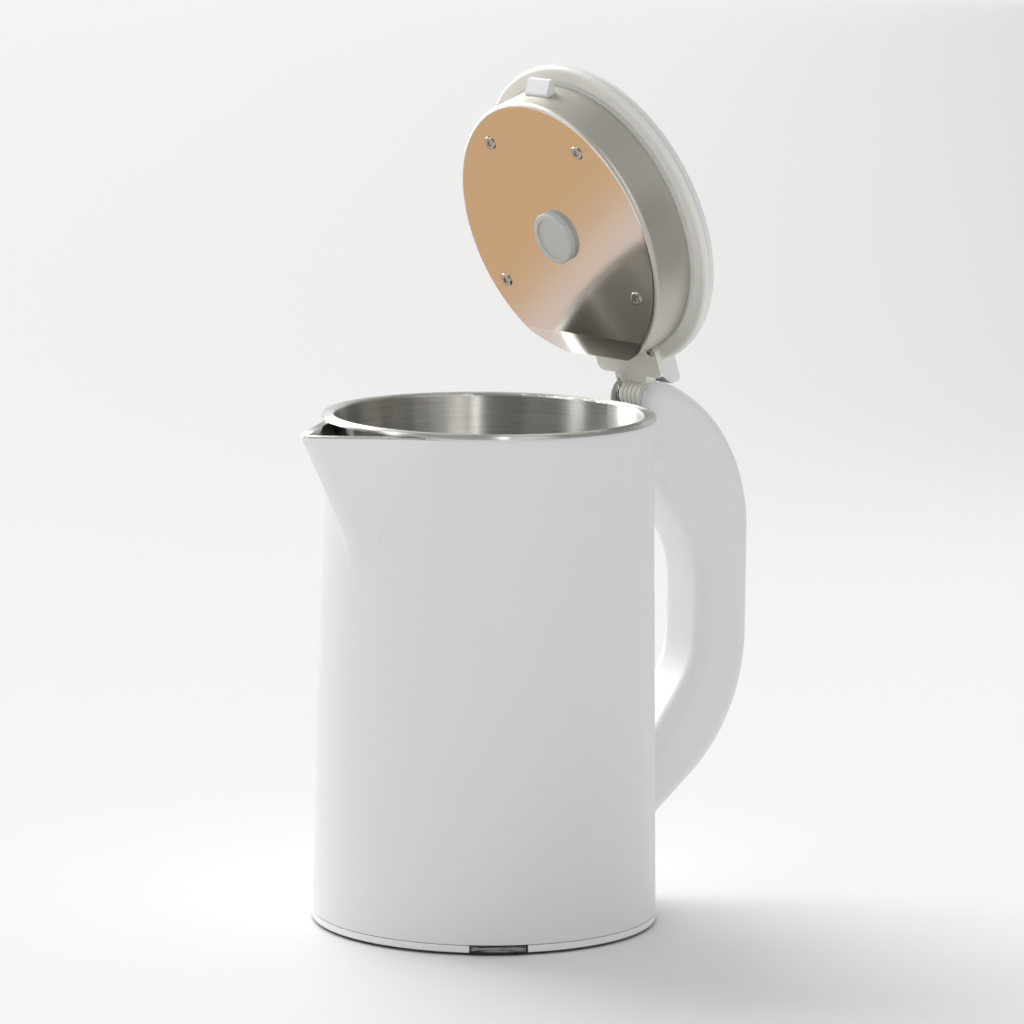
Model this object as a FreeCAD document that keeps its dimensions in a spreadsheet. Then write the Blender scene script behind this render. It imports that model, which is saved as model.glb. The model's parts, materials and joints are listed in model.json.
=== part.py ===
import FreeCAD, Part
import math
import os
import Sketcher
from FreeCAD import Placement, Rotation, Vector

# Electric kettle with a double wall, standing on the floor with its lid open.
# +X points to the handle, -X to the spout, the lid turns about an axis along Y.
# Lengths in millimetres, angles in degrees; lid pieces are drawn closed and then turned open.

SIZES = [
    # outer shell and spout
    ("base_radius", 72.5), ("shell_wall", 2.2), ("fit_gap", 0.2), ("over", 1),
    ("spout_reach", 30.1), ("spout_turn", 40), ("spout_sink", 3.5), ("spout_drop", 54),
    ("spout_foot_reach", 2.6), ("spout_foot_half", 18), ("spout_round", 6),
    # steel pot
    ("rim_height", 215), ("rim_inset", 2.6), ("rim_lip", 1.1), ("rim_width", 5.3), ("rim_skirt", 1.8),
    ("liner_wall", 0.8), ("liner_floor", 47), ("liner_corner", 8), ("rim_round", 1.2),
    ("gasket_height", 6), ("gasket_turn", 280), ("pour_hole", 3), ("pour_pitch", 8), ("pour_drop", 39),
    ("steam_drop", 15),
    # base
    ("foot_height", 1.2), ("foot_radius", 6), ("foot_inset", 16.5), ("foot_sink", 0.8),
    ("cover_edge", 3), ("seam_gap", 0.3), ("spigot_height", 9), ("spigot_wall", 2.3),
    ("base_screw_inset", 6), ("base_screw_turn", 30), ("lug_radius", 4.5), ("lug_height", 14),
    ("window_turn", 236), ("window_width", 24), ("window_low", 1),
    ("window_depth", 4), ("bezel_edge", 0.5), ("lens_depth", 1.6), ("board_wall", 1.6), ("board_inset", 2),
    ("cover_round_low", 0.6), ("screw_seat", 3.4),
    # heater and control
    ("plate_inset", 12.6), ("plate_wall", 4), ("element_inset", 12), ("element_width", 7),
    ("element_height", 6), ("element_gap", 50), ("terminal_radius", 2.2), ("terminal_length", 8),
    ("control_long", 46), ("control_wide", 42), ("control_low", 18), ("control_drop", 10.2),
    ("control_round", 4), ("stud_circle", 16), ("stud_radius", 2), ("disc_radius", 5.5),
    ("disc_wall", 0.8), ("disc_circle", 13), ("disc_gap", 0.5), ("socket_radius", 19), ("socket_low", 2.4),
    ("socket_bore", 4), ("socket_depth", 12), ("slot_depth", 9), ("slot_inner", 7),
    ("slot_outer", 13), ("slot_width", 3.2), ("ring_wall", 0.8), ("ring_inset", 2),
    ("element_round", 2.5), ("terminal_turn", 5),
    ("fuse_radius", 2.4), ("fuse_length", 12), ("fuse_inset", 5),
    # steam switch and on and off lever
    ("pivot_inset", 10.5), ("pivot_z", 16), ("pin_radius", 1.5), ("running_gap", 0.05),
    ("ear_gap", 12.5), ("ear_wall", 3), ("ear_long", 8), ("ear_high", 22.5),
    ("lever_half", 10), ("lever_wall", 4), ("lever_reach", 21.5), ("lever_tail", 6), ("hub_radius", 4),
    ("lever_play", 1), ("lever_drop", 1.5), ("lever_round", 1.8),
    ("housing_long", 12), ("housing_roof", 4.6), ("housing_wall", 1.6), ("housing_round", 1.5),
    ("steam_disc", 9), ("steam_disc_drop", 12.6), ("grommet_radius", 5.2), ("grommet_wall", 1.1),
    ("grommet_neck", 12), ("grommet_bore", 1.6), ("tube_play", 0.6), ("tube_bend", 8), ("tube_reach", 22),
    ("tube_high_drop", 35), ("tube_knee", 92), ("tube_step", 4.2), ("tube_inset", 15),
    ("tube_radius", 3.2), ("tube_bore", 2.2), ("tube_low", 41), ("steam_hole", 3),
    ("wire_radius", 1.1), ("wire_drop", 5), ("wire_gap", 0.35), ("wire_bend", 3), ("lamp_bend", 4),
    ("lamp_x", 15), ("lamp_away", 16),
    # handle
    ("handle_half", 14.5), ("handle_wall", 2.6), ("handle_side", 4), ("handle_edge", 7),
    ("handle_sink", 10.5), ("handle_seat", 1.5), ("seat_drop", 4.5), ("ear_reach", 4.6),
    ("ear_rise", 6.5), ("ear_round", 7.6), ("crest_reach", 5), ("crest_round", 8),
    ("grip_reach", 63.1), ("grip_depth", 27.9), ("shoulder_drop", 9), ("shoulder_round", 71),
    ("cavity_round", 52.6),
    ("elbow_z", 73.2), ("elbow_round", 76), ("heel_z", 18.5), ("toe_z", 50),
    ("throat_reach", 9.5), ("throat_low", 68), ("throat_drop", 32), ("collar_drop", 27),
    ("grip_low", 101), ("grip_drop", 69), ("inner_round", 40), ("throat_round", 20),
    ("collar_round", 12), ("post_radius", 4.6), ("post_floor", 2),
    ("post_high_inset", 39.5), ("post_high_drop", 32), ("post_grip_inset", 6), ("post_grip_drop", 87),
    ("post_low_inset", 23.9), ("post_low_z", 104),
    # screws
    ("screw_radius", 1.5), ("head_radius", 3), ("head_wall", 1.8), ("screw_play", 0.1), ("head_play", 0.3),
    ("base_screw_length", 14), ("lid_screw_length", 13), ("lid_head_wall", 0.8), ("pilot_floor", 2),
    ("arm_screw", 1.2), ("arm_head_wall", 1), ("thin_head", 0.8), ("mount_head_wall", 1.6),
    ("mount_spread", 8.5), ("mount_drop", 22), ("mount_low", 50), ("mount_head", 2.2),
    # hinge
    ("hinge_reach", 11.1), ("hinge_rise", 2), ("open_angle", 70.5), ("hinge_slot", 10.1),
    ("slot_ahead", 10.6), ("slot_behind", 12.5), ("slot_drop", 7.5), ("barrel_radius", 6.5),
    ("barrel_near", 4), ("barrel_far", 9.7), ("rib_depth", 0.5), ("rib_width", 1.1), ("rib_pitch", 2.7),
    ("arm_gap", 0.7), ("arm_ahead", 9.5), ("arm_half", 20.5), ("arm_round", 3), ("neck_ahead", 12.8),
    ("arm_drop", 0.7), ("neck_rise", 4.2), ("lug_ahead", 10.8), ("lug_long", 3.5), ("lug_out", 2.4),
    ("lug_gap", 0.1), ("arm_screw_gap", 2), ("arm_screw_inset", 3.1),
    ("coil_radius", 4.2), ("coil_wire", 0.5), ("coil_pitch", 1.45), ("coil_near", 9.1), ("coil_turns", 3),
    ("coil_leg", 6.7), ("coil_arm", 8.7), ("hinge_pin_half", 12.8),
    # lid
    ("lid_drop", 17.5), ("cup_depth", 19.5), ("cup_gap", 4.6), ("chord_inset", 3.5),
    ("cup_wall", 0.7), ("cup_edge", 2), ("bevel_long", 11.5), ("bevel_rise", 4),
    ("gasket_wall", 1.8), ("gasket_out", 1), ("gasket_in", 2.4), ("gasket_back", 0.1), ("gasket_chord", 3),
    ("lid_inset", 2.4), ("frame_wall", 2.5), ("frame_edge", 2), ("cover_wall", 2), ("lid_seam", 0.2),
    ("cover_side", 4), ("cover_rise", 8.5), ("crown_inset", 27.5), ("crown_drop", 1), ("crown_round", 300),
    ("cover_round", 4.5), ("cover_round_in", 2),
    ("lid_screw_inset", 11), ("front_screw_turn", 144.6), ("rear_screw_turn", 60.6),
    ("boss_radius", 4),
    ("plug_radius", 11.25), ("plug_high", 3), ("plug_stem", 6.8), ("plug_lip", 2.4), ("plug_sink", 0.8),
    ("plug_play", 0.2), ("stem_out", 4), ("nut_radius", 9), ("nut_wall", 3),
    ("tail_half", 9.5), ("tail_short", 0.5), ("tail_high", 13), ("tail_lift", 0.1), ("tail_lap", 9),
    ("tail_knee_out", 2.5), ("tail_rise", 7.5), ("tail_crest_in", 1.5), ("tail_heel_high", 7),
    ("tail_round", 6), ("tail_tip_round", 1.5), ("tail_under_round", 1.5),
    # latch and its button
    ("travel", 3), ("bar_rise", 8.5), ("bar_wall", 5), ("bar_half", 7), ("spring_room", 7.2),
    ("tongue_out", 6), ("tongue_start", 1), ("tongue_flat", 1.6), ("guide_wall", 3), ("guide_long", 6),
    ("guide_gap", 0.3), ("guide_floor", 2), ("guide_inset", 16), ("guide_rear", 22),
    ("ramp_ahead", 1), ("foot_ahead", 2), ("foot_behind", 2.5), ("foot_half", 3), ("foot_drop", 1.5),
    ("slide_gap", 0.4), ("button_inset", 31.5), ("button_long", 18), ("button_wide", 18),
    ("button_round", 4), ("button_rise", 2), ("flange_out", 1.2), ("flange_rise", 3.2), ("flange_wall", 1),
    ("catch_play", 1), ("latch_coil", 2.2), ("latch_wire", 0.35), ("latch_turns", 5),
    ("post_inset", 5.3), ("post_wall", 2.2), ("post_half", 4), ("post_drop", 1),
]


class Size:
    # a size of the sheet, or one worked out from several: its number and its expression
    def __init__(self, value, text):
        self.value = value
        self.text = text

    def __add__(self, other):
        other = size(other)
        return Size(self.value + other.value, f"({self.text} + {other.text})")

    def __sub__(self, other):
        other = size(other)
        return Size(self.value - other.value, f"({self.text} - {other.text})")

    def __mul__(self, other):
        other = size(other)
        return Size(self.value * other.value, f"({self.text} * {other.text})")

    def __truediv__(self, other):
        other = size(other)
        return Size(self.value / other.value, f"({self.text} / {other.text})")

    def __neg__(self):
        return Size(-self.value, f"(0 - {self.text})")

    def __radd__(self, other):
        return size(other) + self

    def __rsub__(self, other):
        return size(other) - self

    def __rmul__(self, other):
        return size(other) * self


def size(number):
    if isinstance(number, Size):
        return number
    return Size(float(number), f"({float(number)!r})")


def root(area):
    return Size(math.sqrt(area.value), f"sqrt({area.text})")


def cosine(angle):
    angle = size(angle)
    return Size(math.cos(math.radians(angle.value)), f"cos({angle.text})")


def sine(angle):
    angle = size(angle)
    return Size(math.sin(math.radians(angle.value)), f"sin({angle.text})")


class Sizes:
    pass


doc = FreeCAD.newDocument("kettle")
sheet = doc.addObject("Spreadsheet::Sheet", "dims")
d = Sizes()
for row, (alias, number) in enumerate(SIZES, start=1):
    sheet.set(f"A{row}", alias)
    sheet.set(f"B{row}", str(number))
    sheet.setAlias(f"B{row}", alias)
    setattr(d, alias, Size(float(number), f"dims.{alias}"))
doc.recompute()

ZERO = size(0)
finished = []

# Radii, outwards from the axis of the pot
d.rim_radius = d.base_radius - d.rim_inset
d.top_radius = d.rim_radius - d.rim_lip
d.liner_radius = d.rim_radius - d.rim_width
d.spout_tip = d.rim_radius + d.spout_reach
d.spout_foot_tip = d.rim_radius + d.spout_foot_reach
d.spout_root = (d.top_radius - d.spout_sink) * cosine(d.spout_turn)
d.spout_half = (d.top_radius - d.spout_sink) * sine(d.spout_turn)
d.foot_circle = d.base_radius - d.foot_inset
d.base_screw_circle = d.base_radius - d.base_screw_inset
d.plate_radius = d.liner_radius - d.plate_inset
d.element_circle = d.plate_radius - d.element_inset
d.cup_radius = d.liner_radius - d.cup_gap
d.cup_chord = d.cup_radius - d.chord_inset
d.bevel_start = d.cup_chord - d.bevel_long
d.lid_radius = d.rim_radius - d.lid_inset
d.crown_radius = d.lid_radius - d.crown_inset
d.lid_screw_circle = d.cup_radius - d.lid_screw_inset
skirt_inner = d.rim_radius - d.liner_wall
liner_outer = d.liner_radius + d.liner_wall
spigot_outer = d.base_radius - d.shell_wall - d.fit_gap

# Places along X
d.hinge_x = d.rim_radius + d.hinge_reach
d.slot_front = d.hinge_x - d.slot_ahead
d.slot_back = d.hinge_x + d.slot_behind
d.arm_front = d.cup_chord + d.arm_gap
d.arm_back = d.hinge_x - d.arm_ahead
d.arm_screw_x = d.arm_front + d.arm_screw_gap
d.arm_screw_y = d.arm_half - d.arm_screw_inset
d.neck_front = d.hinge_x - d.neck_ahead
d.lug_front = d.hinge_x - d.lug_ahead
d.lug_back = d.lug_front + d.lug_long
d.tail_back = d.hinge_x - d.tail_short
d.tail_front = d.lid_radius - d.tail_lap
d.tail_knee = d.lid_radius + d.tail_knee_out
d.tail_crest = d.lid_radius - d.tail_crest_in
d.ear_front = d.rim_radius + d.ear_reach
d.crest_x = d.hinge_x + d.crest_reach
d.handle_root = d.base_radius - d.handle_sink
d.handle_end = d.base_radius + d.handle_seat
d.grip_out = d.base_radius + d.grip_reach
d.grip_in = d.grip_out - d.grip_depth
d.throat_x = d.base_radius + d.throat_reach
d.tube_grip_x = d.grip_out - d.tube_inset
d.post_high_x = d.grip_out - d.post_high_inset
d.post_grip_x = d.grip_out - d.post_grip_inset
d.post_low_x = d.grip_out - d.post_low_inset
d.pivot_x = d.base_radius - d.pivot_inset
d.lever_tip = d.pivot_x + d.lever_reach
d.lever_heel = d.pivot_x - d.lever_tail
d.button_x = d.lid_radius - d.button_inset
d.ramp_foot = d.button_x + d.ramp_ahead
d.foot_front = d.button_x - d.foot_ahead
d.foot_back = d.button_x + d.foot_behind
d.tongue_tip = d.cup_radius + d.tongue_out
d.tongue_root = d.cup_radius + d.tongue_start
d.guide_front = d.cup_radius - d.guide_inset
d.guide_back = d.button_x - d.guide_rear
d.spring_post = d.cup_chord - d.post_inset
d.bar_back = d.spring_post - d.spring_room

# Levels, upwards from the floor or downwards from the rim
cover_top = d.foot_height + d.cover_edge
shell_low = cover_top + d.seam_gap
shell_top = d.rim_height - d.liner_wall - d.fit_gap
skirt_low = d.rim_height - d.rim_skirt
liner_under = d.liner_floor - d.liner_wall
spout_low = shell_top - d.spout_drop
spout_top = skirt_low - d.fit_gap - d.liner_wall
d.window_high = shell_low - d.fit_gap
d.control_high = liner_under - d.plate_wall - d.control_drop
d.housing_high = d.tube_low + d.housing_roof
d.pour_height = d.rim_height - d.pour_drop
d.steam_height = d.rim_height - d.steam_drop
d.mount_high = d.rim_height - d.mount_drop
d.hinge_z = d.rim_height + d.hinge_rise
d.slot_floor = d.hinge_z - d.slot_drop
d.arm_low = d.hinge_z - d.arm_drop
d.neck_high = d.hinge_z + d.neck_rise
d.ear_top = d.hinge_z + d.ear_rise
d.seat_height = d.rim_height - d.seat_drop
d.shoulder_z = d.rim_height - d.shoulder_drop
d.throat_high = d.rim_height - d.throat_drop
d.collar_z = d.rim_height - d.collar_drop
d.grip_high = d.rim_height - d.grip_drop
d.tube_high = d.rim_height - d.tube_high_drop
d.post_high_z = d.rim_height - d.post_high_drop
d.post_grip_z = d.rim_height - d.post_grip_drop
d.lid_face = d.rim_height - d.lid_drop
cup_top = d.lid_face + d.cup_depth
cup_floor = d.lid_face + d.cup_wall
frame_low = cup_top + d.gasket_wall
frame_top = frame_low + d.frame_wall
cover_low = frame_top + d.lid_seam
d.tail_low = cover_low + d.tail_lift
d.tail_top = cover_low + d.tail_high
d.tail_heel = cover_low + d.tail_heel_high
d.bar_low = d.lid_face + d.bar_rise
d.bar_high = d.bar_low + d.bar_wall
d.foot_low = d.bar_low - d.foot_drop
d.flange_low = cover_low + d.flange_rise
ramp_line = d.bar_low - d.ramp_foot
board_width = d.window_width - 2 * d.board_inset
tube_passage = d.tube_radius + d.tube_play


def shell_radius(height):
    return d.base_radius - (d.base_radius - d.top_radius) * (height - shell_low) / (shell_top - shell_low)


# Tools for sketches, features and placing

def bind(thing, name, amount):
    thing.setExpression(name, size(amount).text)


def place(thing, x=0, y=0, z=0, axis="0; 0; 1", angle=0):
    spot = "; ".join(size(number).text for number in (x, y, z))
    turn = f"rotation(vector({axis}); {size(angle).text})"
    thing.setExpression("Placement", f"placement(vector({spot}); {turn})")


def on_lid(thing):
    turn = f"rotation(vector(0; 1; 0); {d.open_angle.text})"
    centre = f"vector({d.hinge_x.text}; 0; {d.hinge_z.text})"
    thing.setExpression("Placement", f"placement(vector(0; 0; 0); {turn}; {centre})")


def finish(thing, label, lid=False):
    thing.Label = label
    finished.append(thing)
    if lid:
        on_lid(thing)
    return thing


def new_body(name):
    return doc.addObject("PartDesign::Body", name)


def new_sketch(body, plane, lift=0, turn=0):
    sketch = body.newObject("Sketcher::SketchObject", f"{body.Name}_sketch")
    support = [part for part in body.Origin.OriginFeatures if part.Role == plane + "_Plane"]
    sketch.AttachmentSupport = [(support[0], "")]
    sketch.MapMode = "FlatFace"
    lift = size(lift).text
    turn = size(turn).text
    offset = f"placement(vector(0; 0; {lift}); rotation(vector(0; 1; 0); {turn}))"
    sketch.setExpression("AttachmentOffset", offset)
    return sketch


def hold(sketch, kind, *where):
    amount = where[-1]
    index = sketch.addConstraint(Sketcher.Constraint(kind, *where[:-1], amount.value))
    sketch.setExpression(f"Constraints[{index}]", amount.text)


def hold_point(sketch, piece, end, x, y):
    for kind, axis, amount in (("DistanceX", -2, size(x)), ("DistanceY", -1, size(y))):
        if abs(amount.value) < 1e-9:
            sketch.addConstraint(Sketcher.Constraint("PointOnObject", piece, end, axis))
        else:
            hold(sketch, kind, -1, 1, piece, end, amount)


def add_outline(sketch, corners):
    # closed run of straight lines through the corners (x, y) or (x, y, radius of a rounded corner)
    points = [Vector(size(c[0]).value, size(c[1]).value, 0) for c in corners]
    count = len(points)
    entry = []
    leave = []
    arcs = {}
    for k, corner in enumerate(corners):
        before = (points[k - 1] - points[k]).normalize()
        after = (points[(k + 1) % count] - points[k]).normalize()
        if len(corner) < 3:
            entry.append(points[k])
            leave.append(points[k])
            continue
        half = before.getAngle(after) / 2
        reach = corner[2].value / math.tan(half)
        entry.append(points[k] + before * reach)
        leave.append(points[k] + after * reach)
        centre = points[k] + (before + after).normalize() * (corner[2].value / math.sin(half))
        arcs[k] = (centre, before.cross(after).z < 0)
    lines = []
    for k in range(count):
        lines.append(sketch.addGeometry(Part.LineSegment(leave[k], entry[(k + 1) % count])))
    for k, corner in enumerate(corners):
        if k not in arcs:
            sketch.addConstraint(Sketcher.Constraint("Coincident", lines[k - 1], 2, lines[k], 1))
            hold_point(sketch, lines[k], 1, corner[0], corner[1])
            continue
        centre, left = arcs[k]
        start, stop = (entry[k], leave[k]) if left else (leave[k], entry[k])
        circle = Part.Circle(centre, Vector(0, 0, 1), corner[2].value)
        arc = sketch.addGeometry(Part.ArcOfCircle(circle, circle.parameter(start), circle.parameter(stop)))
        tip = sketch.addGeometry(Part.Point(points[k]), True)
        sketch.addConstraint(Sketcher.Constraint("Tangent", lines[k - 1], 2, arc, 1 if left else 2))
        sketch.addConstraint(Sketcher.Constraint("Tangent", arc, 2 if left else 1, lines[k], 1))
        sketch.addConstraint(Sketcher.Constraint("PointOnObject", tip, 1, lines[k - 1]))
        sketch.addConstraint(Sketcher.Constraint("PointOnObject", tip, 1, lines[k]))
        hold_point(sketch, tip, 1, corner[0], corner[1])
        hold(sketch, "Radius", arc, corner[2])


def add_circle(sketch, x, y, radius):
    centre = Vector(size(x).value, size(y).value, 0)
    ring = sketch.addGeometry(Part.Circle(centre, Vector(0, 0, 1), radius.value))
    hold_point(sketch, ring, 3, x, y)
    hold(sketch, "Radius", ring, radius)


def add_chorded(sketch, radius, chord):
    # circle round the origin, cut straight at x = chord
    half = math.sqrt(radius.value ** 2 - chord.value ** 2)
    angle = math.atan2(half, chord.value)
    circle = Part.Circle(Vector(0, 0, 0), Vector(0, 0, 1), radius.value)
    arc = sketch.addGeometry(Part.ArcOfCircle(circle, angle, 2 * math.pi - angle))
    line = sketch.addGeometry(Part.LineSegment(Vector(chord.value, -half, 0), Vector(chord.value, half, 0)))
    sketch.addConstraint(Sketcher.Constraint("Coincident", arc, 3, -1, 1))
    sketch.addConstraint(Sketcher.Constraint("Coincident", arc, 2, line, 1))
    sketch.addConstraint(Sketcher.Constraint("Coincident", arc, 1, line, 2))
    sketch.addConstraint(Sketcher.Constraint("Vertical", line))
    hold(sketch, "Radius", arc, radius)
    hold(sketch, "DistanceX", -1, 1, line, 1, chord)


def outline(body, plane, corners, lift=0, turn=0):
    sketch = new_sketch(body, plane, lift, turn)
    add_outline(sketch, corners)
    return sketch


def circles(body, plane, spots, lift=0, turn=0):
    sketch = new_sketch(body, plane, lift, turn)
    for x, y, radius in spots:
        add_circle(sketch, x, y, size(radius))
    return sketch


def block(x0, x1, y0, y1):
    return [(x0, y0), (x1, y0), (x1, y1), (x0, y1)]


def rounded(corners, radius):
    return [(x, y, radius) for x, y in corners]


def feature(body, kind, profile, **settings):
    made = body.newObject("PartDesign::" + kind, f"{body.Name}_{kind.lower()}")
    made.Profile = profile
    for name, amount in settings.items():
        if isinstance(amount, Size):
            bind(made, name, amount)
        else:
            setattr(made, name, amount)
    body.Tip = made
    return made


def pad(body, sketch, length, **settings):
    return feature(body, "Pad", sketch, Length=size(length), **settings)


def pad_both(body, sketch, length, **settings):
    return feature(body, "Pad", sketch, Length=size(length), SideType="Symmetric", **settings)


def cut(body, sketch, length):
    # takes material away along the sketch plane's normal
    return feature(body, "Pocket", sketch, Length=size(length), Reversed=True)


def cut_both(body, sketch, length):
    return feature(body, "Pocket", sketch, Length=size(length), SideType="Symmetric")


def spin(body, sketch, kind="Revolution", angle=None):
    made = feature(body, kind, sketch, ReferenceAxis=(sketch, ["V_Axis"]))
    if angle is not None:
        bind(made, "Angle", angle)
        made.Midplane = True
    return made


def soften(body, base, radius, wanted):
    doc.recompute()
    names = [f"Edge{k}" for k, edge in enumerate(base.Shape.Edges, start=1) if wanted(edge)]
    made = body.newObject("PartDesign::Fillet", f"{body.Name}_fillet")
    made.Base = (base, names)
    bind(made, "Radius", radius)
    body.Tip = made
    return made


def round_bar(name, radius, length, x=0, y=0, z=0, axis="0; 0; 1", angle=0):
    bar = doc.addObject("Part::Cylinder", name)
    bind(bar, "Radius", radius)
    bind(bar, "Height", length)
    place(bar, x, y, z, axis, angle)
    return bar


def group(name, pieces):
    made = doc.addObject("Part::Compound", name)
    made.Links = pieces
    return made


def joined(name, pieces):
    made = doc.addObject("Part::MultiFuse", name)
    made.Shapes = pieces
    return made


def without(name, base, tool):
    made = doc.addObject("Part::Cut", name)
    made.Base = base
    made.Tool = tool
    return made


ALONG_X = {"axis": "0; 1; 0", "angle": 90}
ALONG_Y = {"axis": "1; 0; 0", "angle": -90}


def polar(radius, turn):
    return radius * cosine(turn), radius * sine(turn)


def inset(corners, depth):
    # the outline moved inwards by depth, corners given in the order that keeps the inside on the left
    count = len(corners)
    normals = []
    for k in range(count):
        x0, y0 = corners[k][:2]
        x1, y1 = corners[(k + 1) % count][:2]
        run = x1 - x0
        rise = y1 - y0
        length = root(run * run + rise * rise)
        normals.append((-rise / length, run / length))
    moved = []
    for k, corner in enumerate(corners):
        ax, ay = normals[k - 1]
        bx, by = normals[k]
        share = depth / (1 + ax * bx + ay * by)
        spot = (corner[0] + (ax + bx) * share, corner[1] + (ay + by) * share)
        if len(corner) == 3:
            left = (by * ax - bx * ay).value > 0
            spot += (corner[2] - depth if left else corner[2] + depth,)
        moved.append(spot)
    return moved


# Outer shell, spout and pot

def spout_corners(tip, half, depth):
    side = root(half * half + (tip - d.spout_root) * (tip - d.spout_root))
    return [
        (-(tip - depth * side / half), ZERO, d.spout_round - depth),
        (-d.spout_root, -(half - depth * side / (tip - d.spout_root))),
        (-d.spout_root, half - depth * side / (tip - d.spout_root)),
    ]


def spout_loft(body, kind, depth, low, high):
    top = outline(body, "XY", spout_corners(d.spout_tip, d.spout_half, depth), high)
    foot = outline(body, "XY", spout_corners(d.spout_foot_tip, d.spout_foot_half, depth), low)
    return feature(body, kind, top, Sections=[foot], Ruled=True)


def window_sector(body, kind, low, high, inner, outer, width):
    section = outline(body, "XZ", block(inner, outer, low, high), 0, d.window_turn)
    angle = width / d.base_radius * (180 / math.pi)
    return spin(body, section, kind, angle)


def make_shell():
    body = new_body("shell")
    wall = [(ZERO, shell_low), (d.base_radius, shell_low), (d.top_radius, shell_top), (ZERO, shell_top)]
    spin(body, outline(body, "XZ", wall))
    spout_loft(body, "AdditiveLoft", ZERO, spout_low, spout_top)
    inner_low = d.base_radius - d.shell_wall
    inner_top = d.top_radius - d.shell_wall
    hollow = [
        (ZERO, shell_low - d.over), (inner_low, shell_low - d.over), (inner_low, shell_low),
        (inner_top, shell_top), (inner_top, shell_top + d.over), (ZERO, shell_top + d.over),
    ]
    spin(body, outline(body, "XZ", hollow), "Groove")
    spout_loft(body, "SubtractiveLoft", d.shell_wall, spout_low + d.shell_wall, spout_top)
    mouth = outline(body, "XY", spout_corners(d.spout_tip, d.spout_half, ZERO), spout_top)
    cut(body, mouth, shell_top - spout_top + d.over)
    lugs = [(x, y, d.lug_radius) for x, y in base_screw_spots()]
    pilots = [(x, y, d.screw_radius) for x, y in base_screw_spots()]
    pad(body, circles(body, "XY", lugs, d.spigot_height), d.lug_height)
    cut(body, circles(body, "XY", pilots, d.spigot_height), d.lug_height - d.pilot_floor)
    slot_half = d.lever_half + d.lever_play
    slot = block(-slot_half, slot_half, d.pivot_z - d.hub_radius - d.lever_drop, d.pivot_z + d.hub_radius)
    cut(body, outline(body, "YZ", slot, d.pivot_x), 2 * (d.base_radius - d.pivot_x))
    holes = [(ZERO, d.steam_height, tube_passage), (ZERO, d.tube_low, tube_passage)]
    for side in (-1, 1):
        for height in (d.mount_low, d.mount_high):
            holes.append((side * d.mount_spread, height, d.screw_radius + d.screw_play))
    cut(body, circles(body, "YZ", holes, d.pivot_x), 2 * (d.base_radius - d.pivot_x))
    seats = [(side * d.mount_spread, d.mount_high, d.mount_head + d.head_play) for side in (-1, 1)]
    cut(body, circles(body, "YZ", seats, d.pivot_x), mount_seat() - d.pivot_x)
    finish(body, "outer_shell")


def base_screw_spots():
    return [polar(d.base_screw_circle, d.base_screw_turn + 120 * k) for k in range(3)]


def mount_seat():
    # flat floor of the upper handle screws' counterbores in the shell wall
    return shell_radius(d.mount_high) - d.shell_wall


def make_liner():
    body = new_body("liner")
    wall = d.liner_wall
    section = [
        (ZERO, liner_under), (liner_outer, liner_under, d.liner_corner + wall),
        (liner_outer, d.rim_height - wall), (skirt_inner, d.rim_height - wall), (skirt_inner, skirt_low),
        (d.rim_radius, skirt_low), (d.rim_radius, d.rim_height, d.rim_round),
        (d.liner_radius, d.rim_height, d.rim_round), (d.liner_radius, d.liner_floor, d.liner_corner),
        (ZERO, d.liner_floor),
    ]
    spin(body, outline(body, "XZ", section))
    holes = []
    for row in range(3):
        for column in range(-row, row + 1):
            holes.append((column * d.pour_pitch, d.pour_height + row * d.pour_pitch, d.pour_hole))
    far = -2 * liner_outer
    reach = 2 * liner_outer - d.spout_root
    cut(body, circles(body, "YZ", holes, far), reach)
    half = d.bar_half + d.catch_play
    catch = block(-half, half, d.bar_low - d.catch_play, d.bar_high + d.catch_play)
    cut(body, outline(body, "YZ", catch, far), reach)
    cut(body, circles(body, "YZ", [(ZERO, d.steam_height, d.steam_hole)], d.spout_root), liner_outer)
    finish(body, "inner_liner")


def make_spout_liner():
    body = new_body("spout_liner")
    outside = d.shell_wall + d.fit_gap
    inside = outside + d.liner_wall
    spout_loft(body, "AdditiveLoft", outside, spout_low + outside, spout_top)
    hem = outline(body, "XY", spout_corners(d.spout_tip, d.spout_half, ZERO), spout_top)
    pad(body, hem, d.liner_wall)
    spout_loft(body, "SubtractiveLoft", inside, spout_low + inside, spout_top + d.liner_wall)
    clear = block(ZERO, liner_outer + d.fit_gap, spout_low, skirt_low)
    spin(body, outline(body, "XZ", clear), "Groove")
    finish(body, "spout_liner")


def make_rim_gasket():
    body = new_body("rim_gasket")
    inner = liner_outer
    outer = d.top_radius - d.shell_wall
    high = d.rim_height - d.liner_wall
    low = high - d.gasket_height
    ring = [(inner, low), (outer, low), (outer, high), (inner, high)]
    spin(body, outline(body, "XZ", ring), "Revolution", d.gasket_turn)
    finish(body, "rim_gasket")


# Base, heater and control

def foot_spots():
    return [polar(d.foot_circle, 60 + 120 * k) for k in range(3)]


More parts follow.
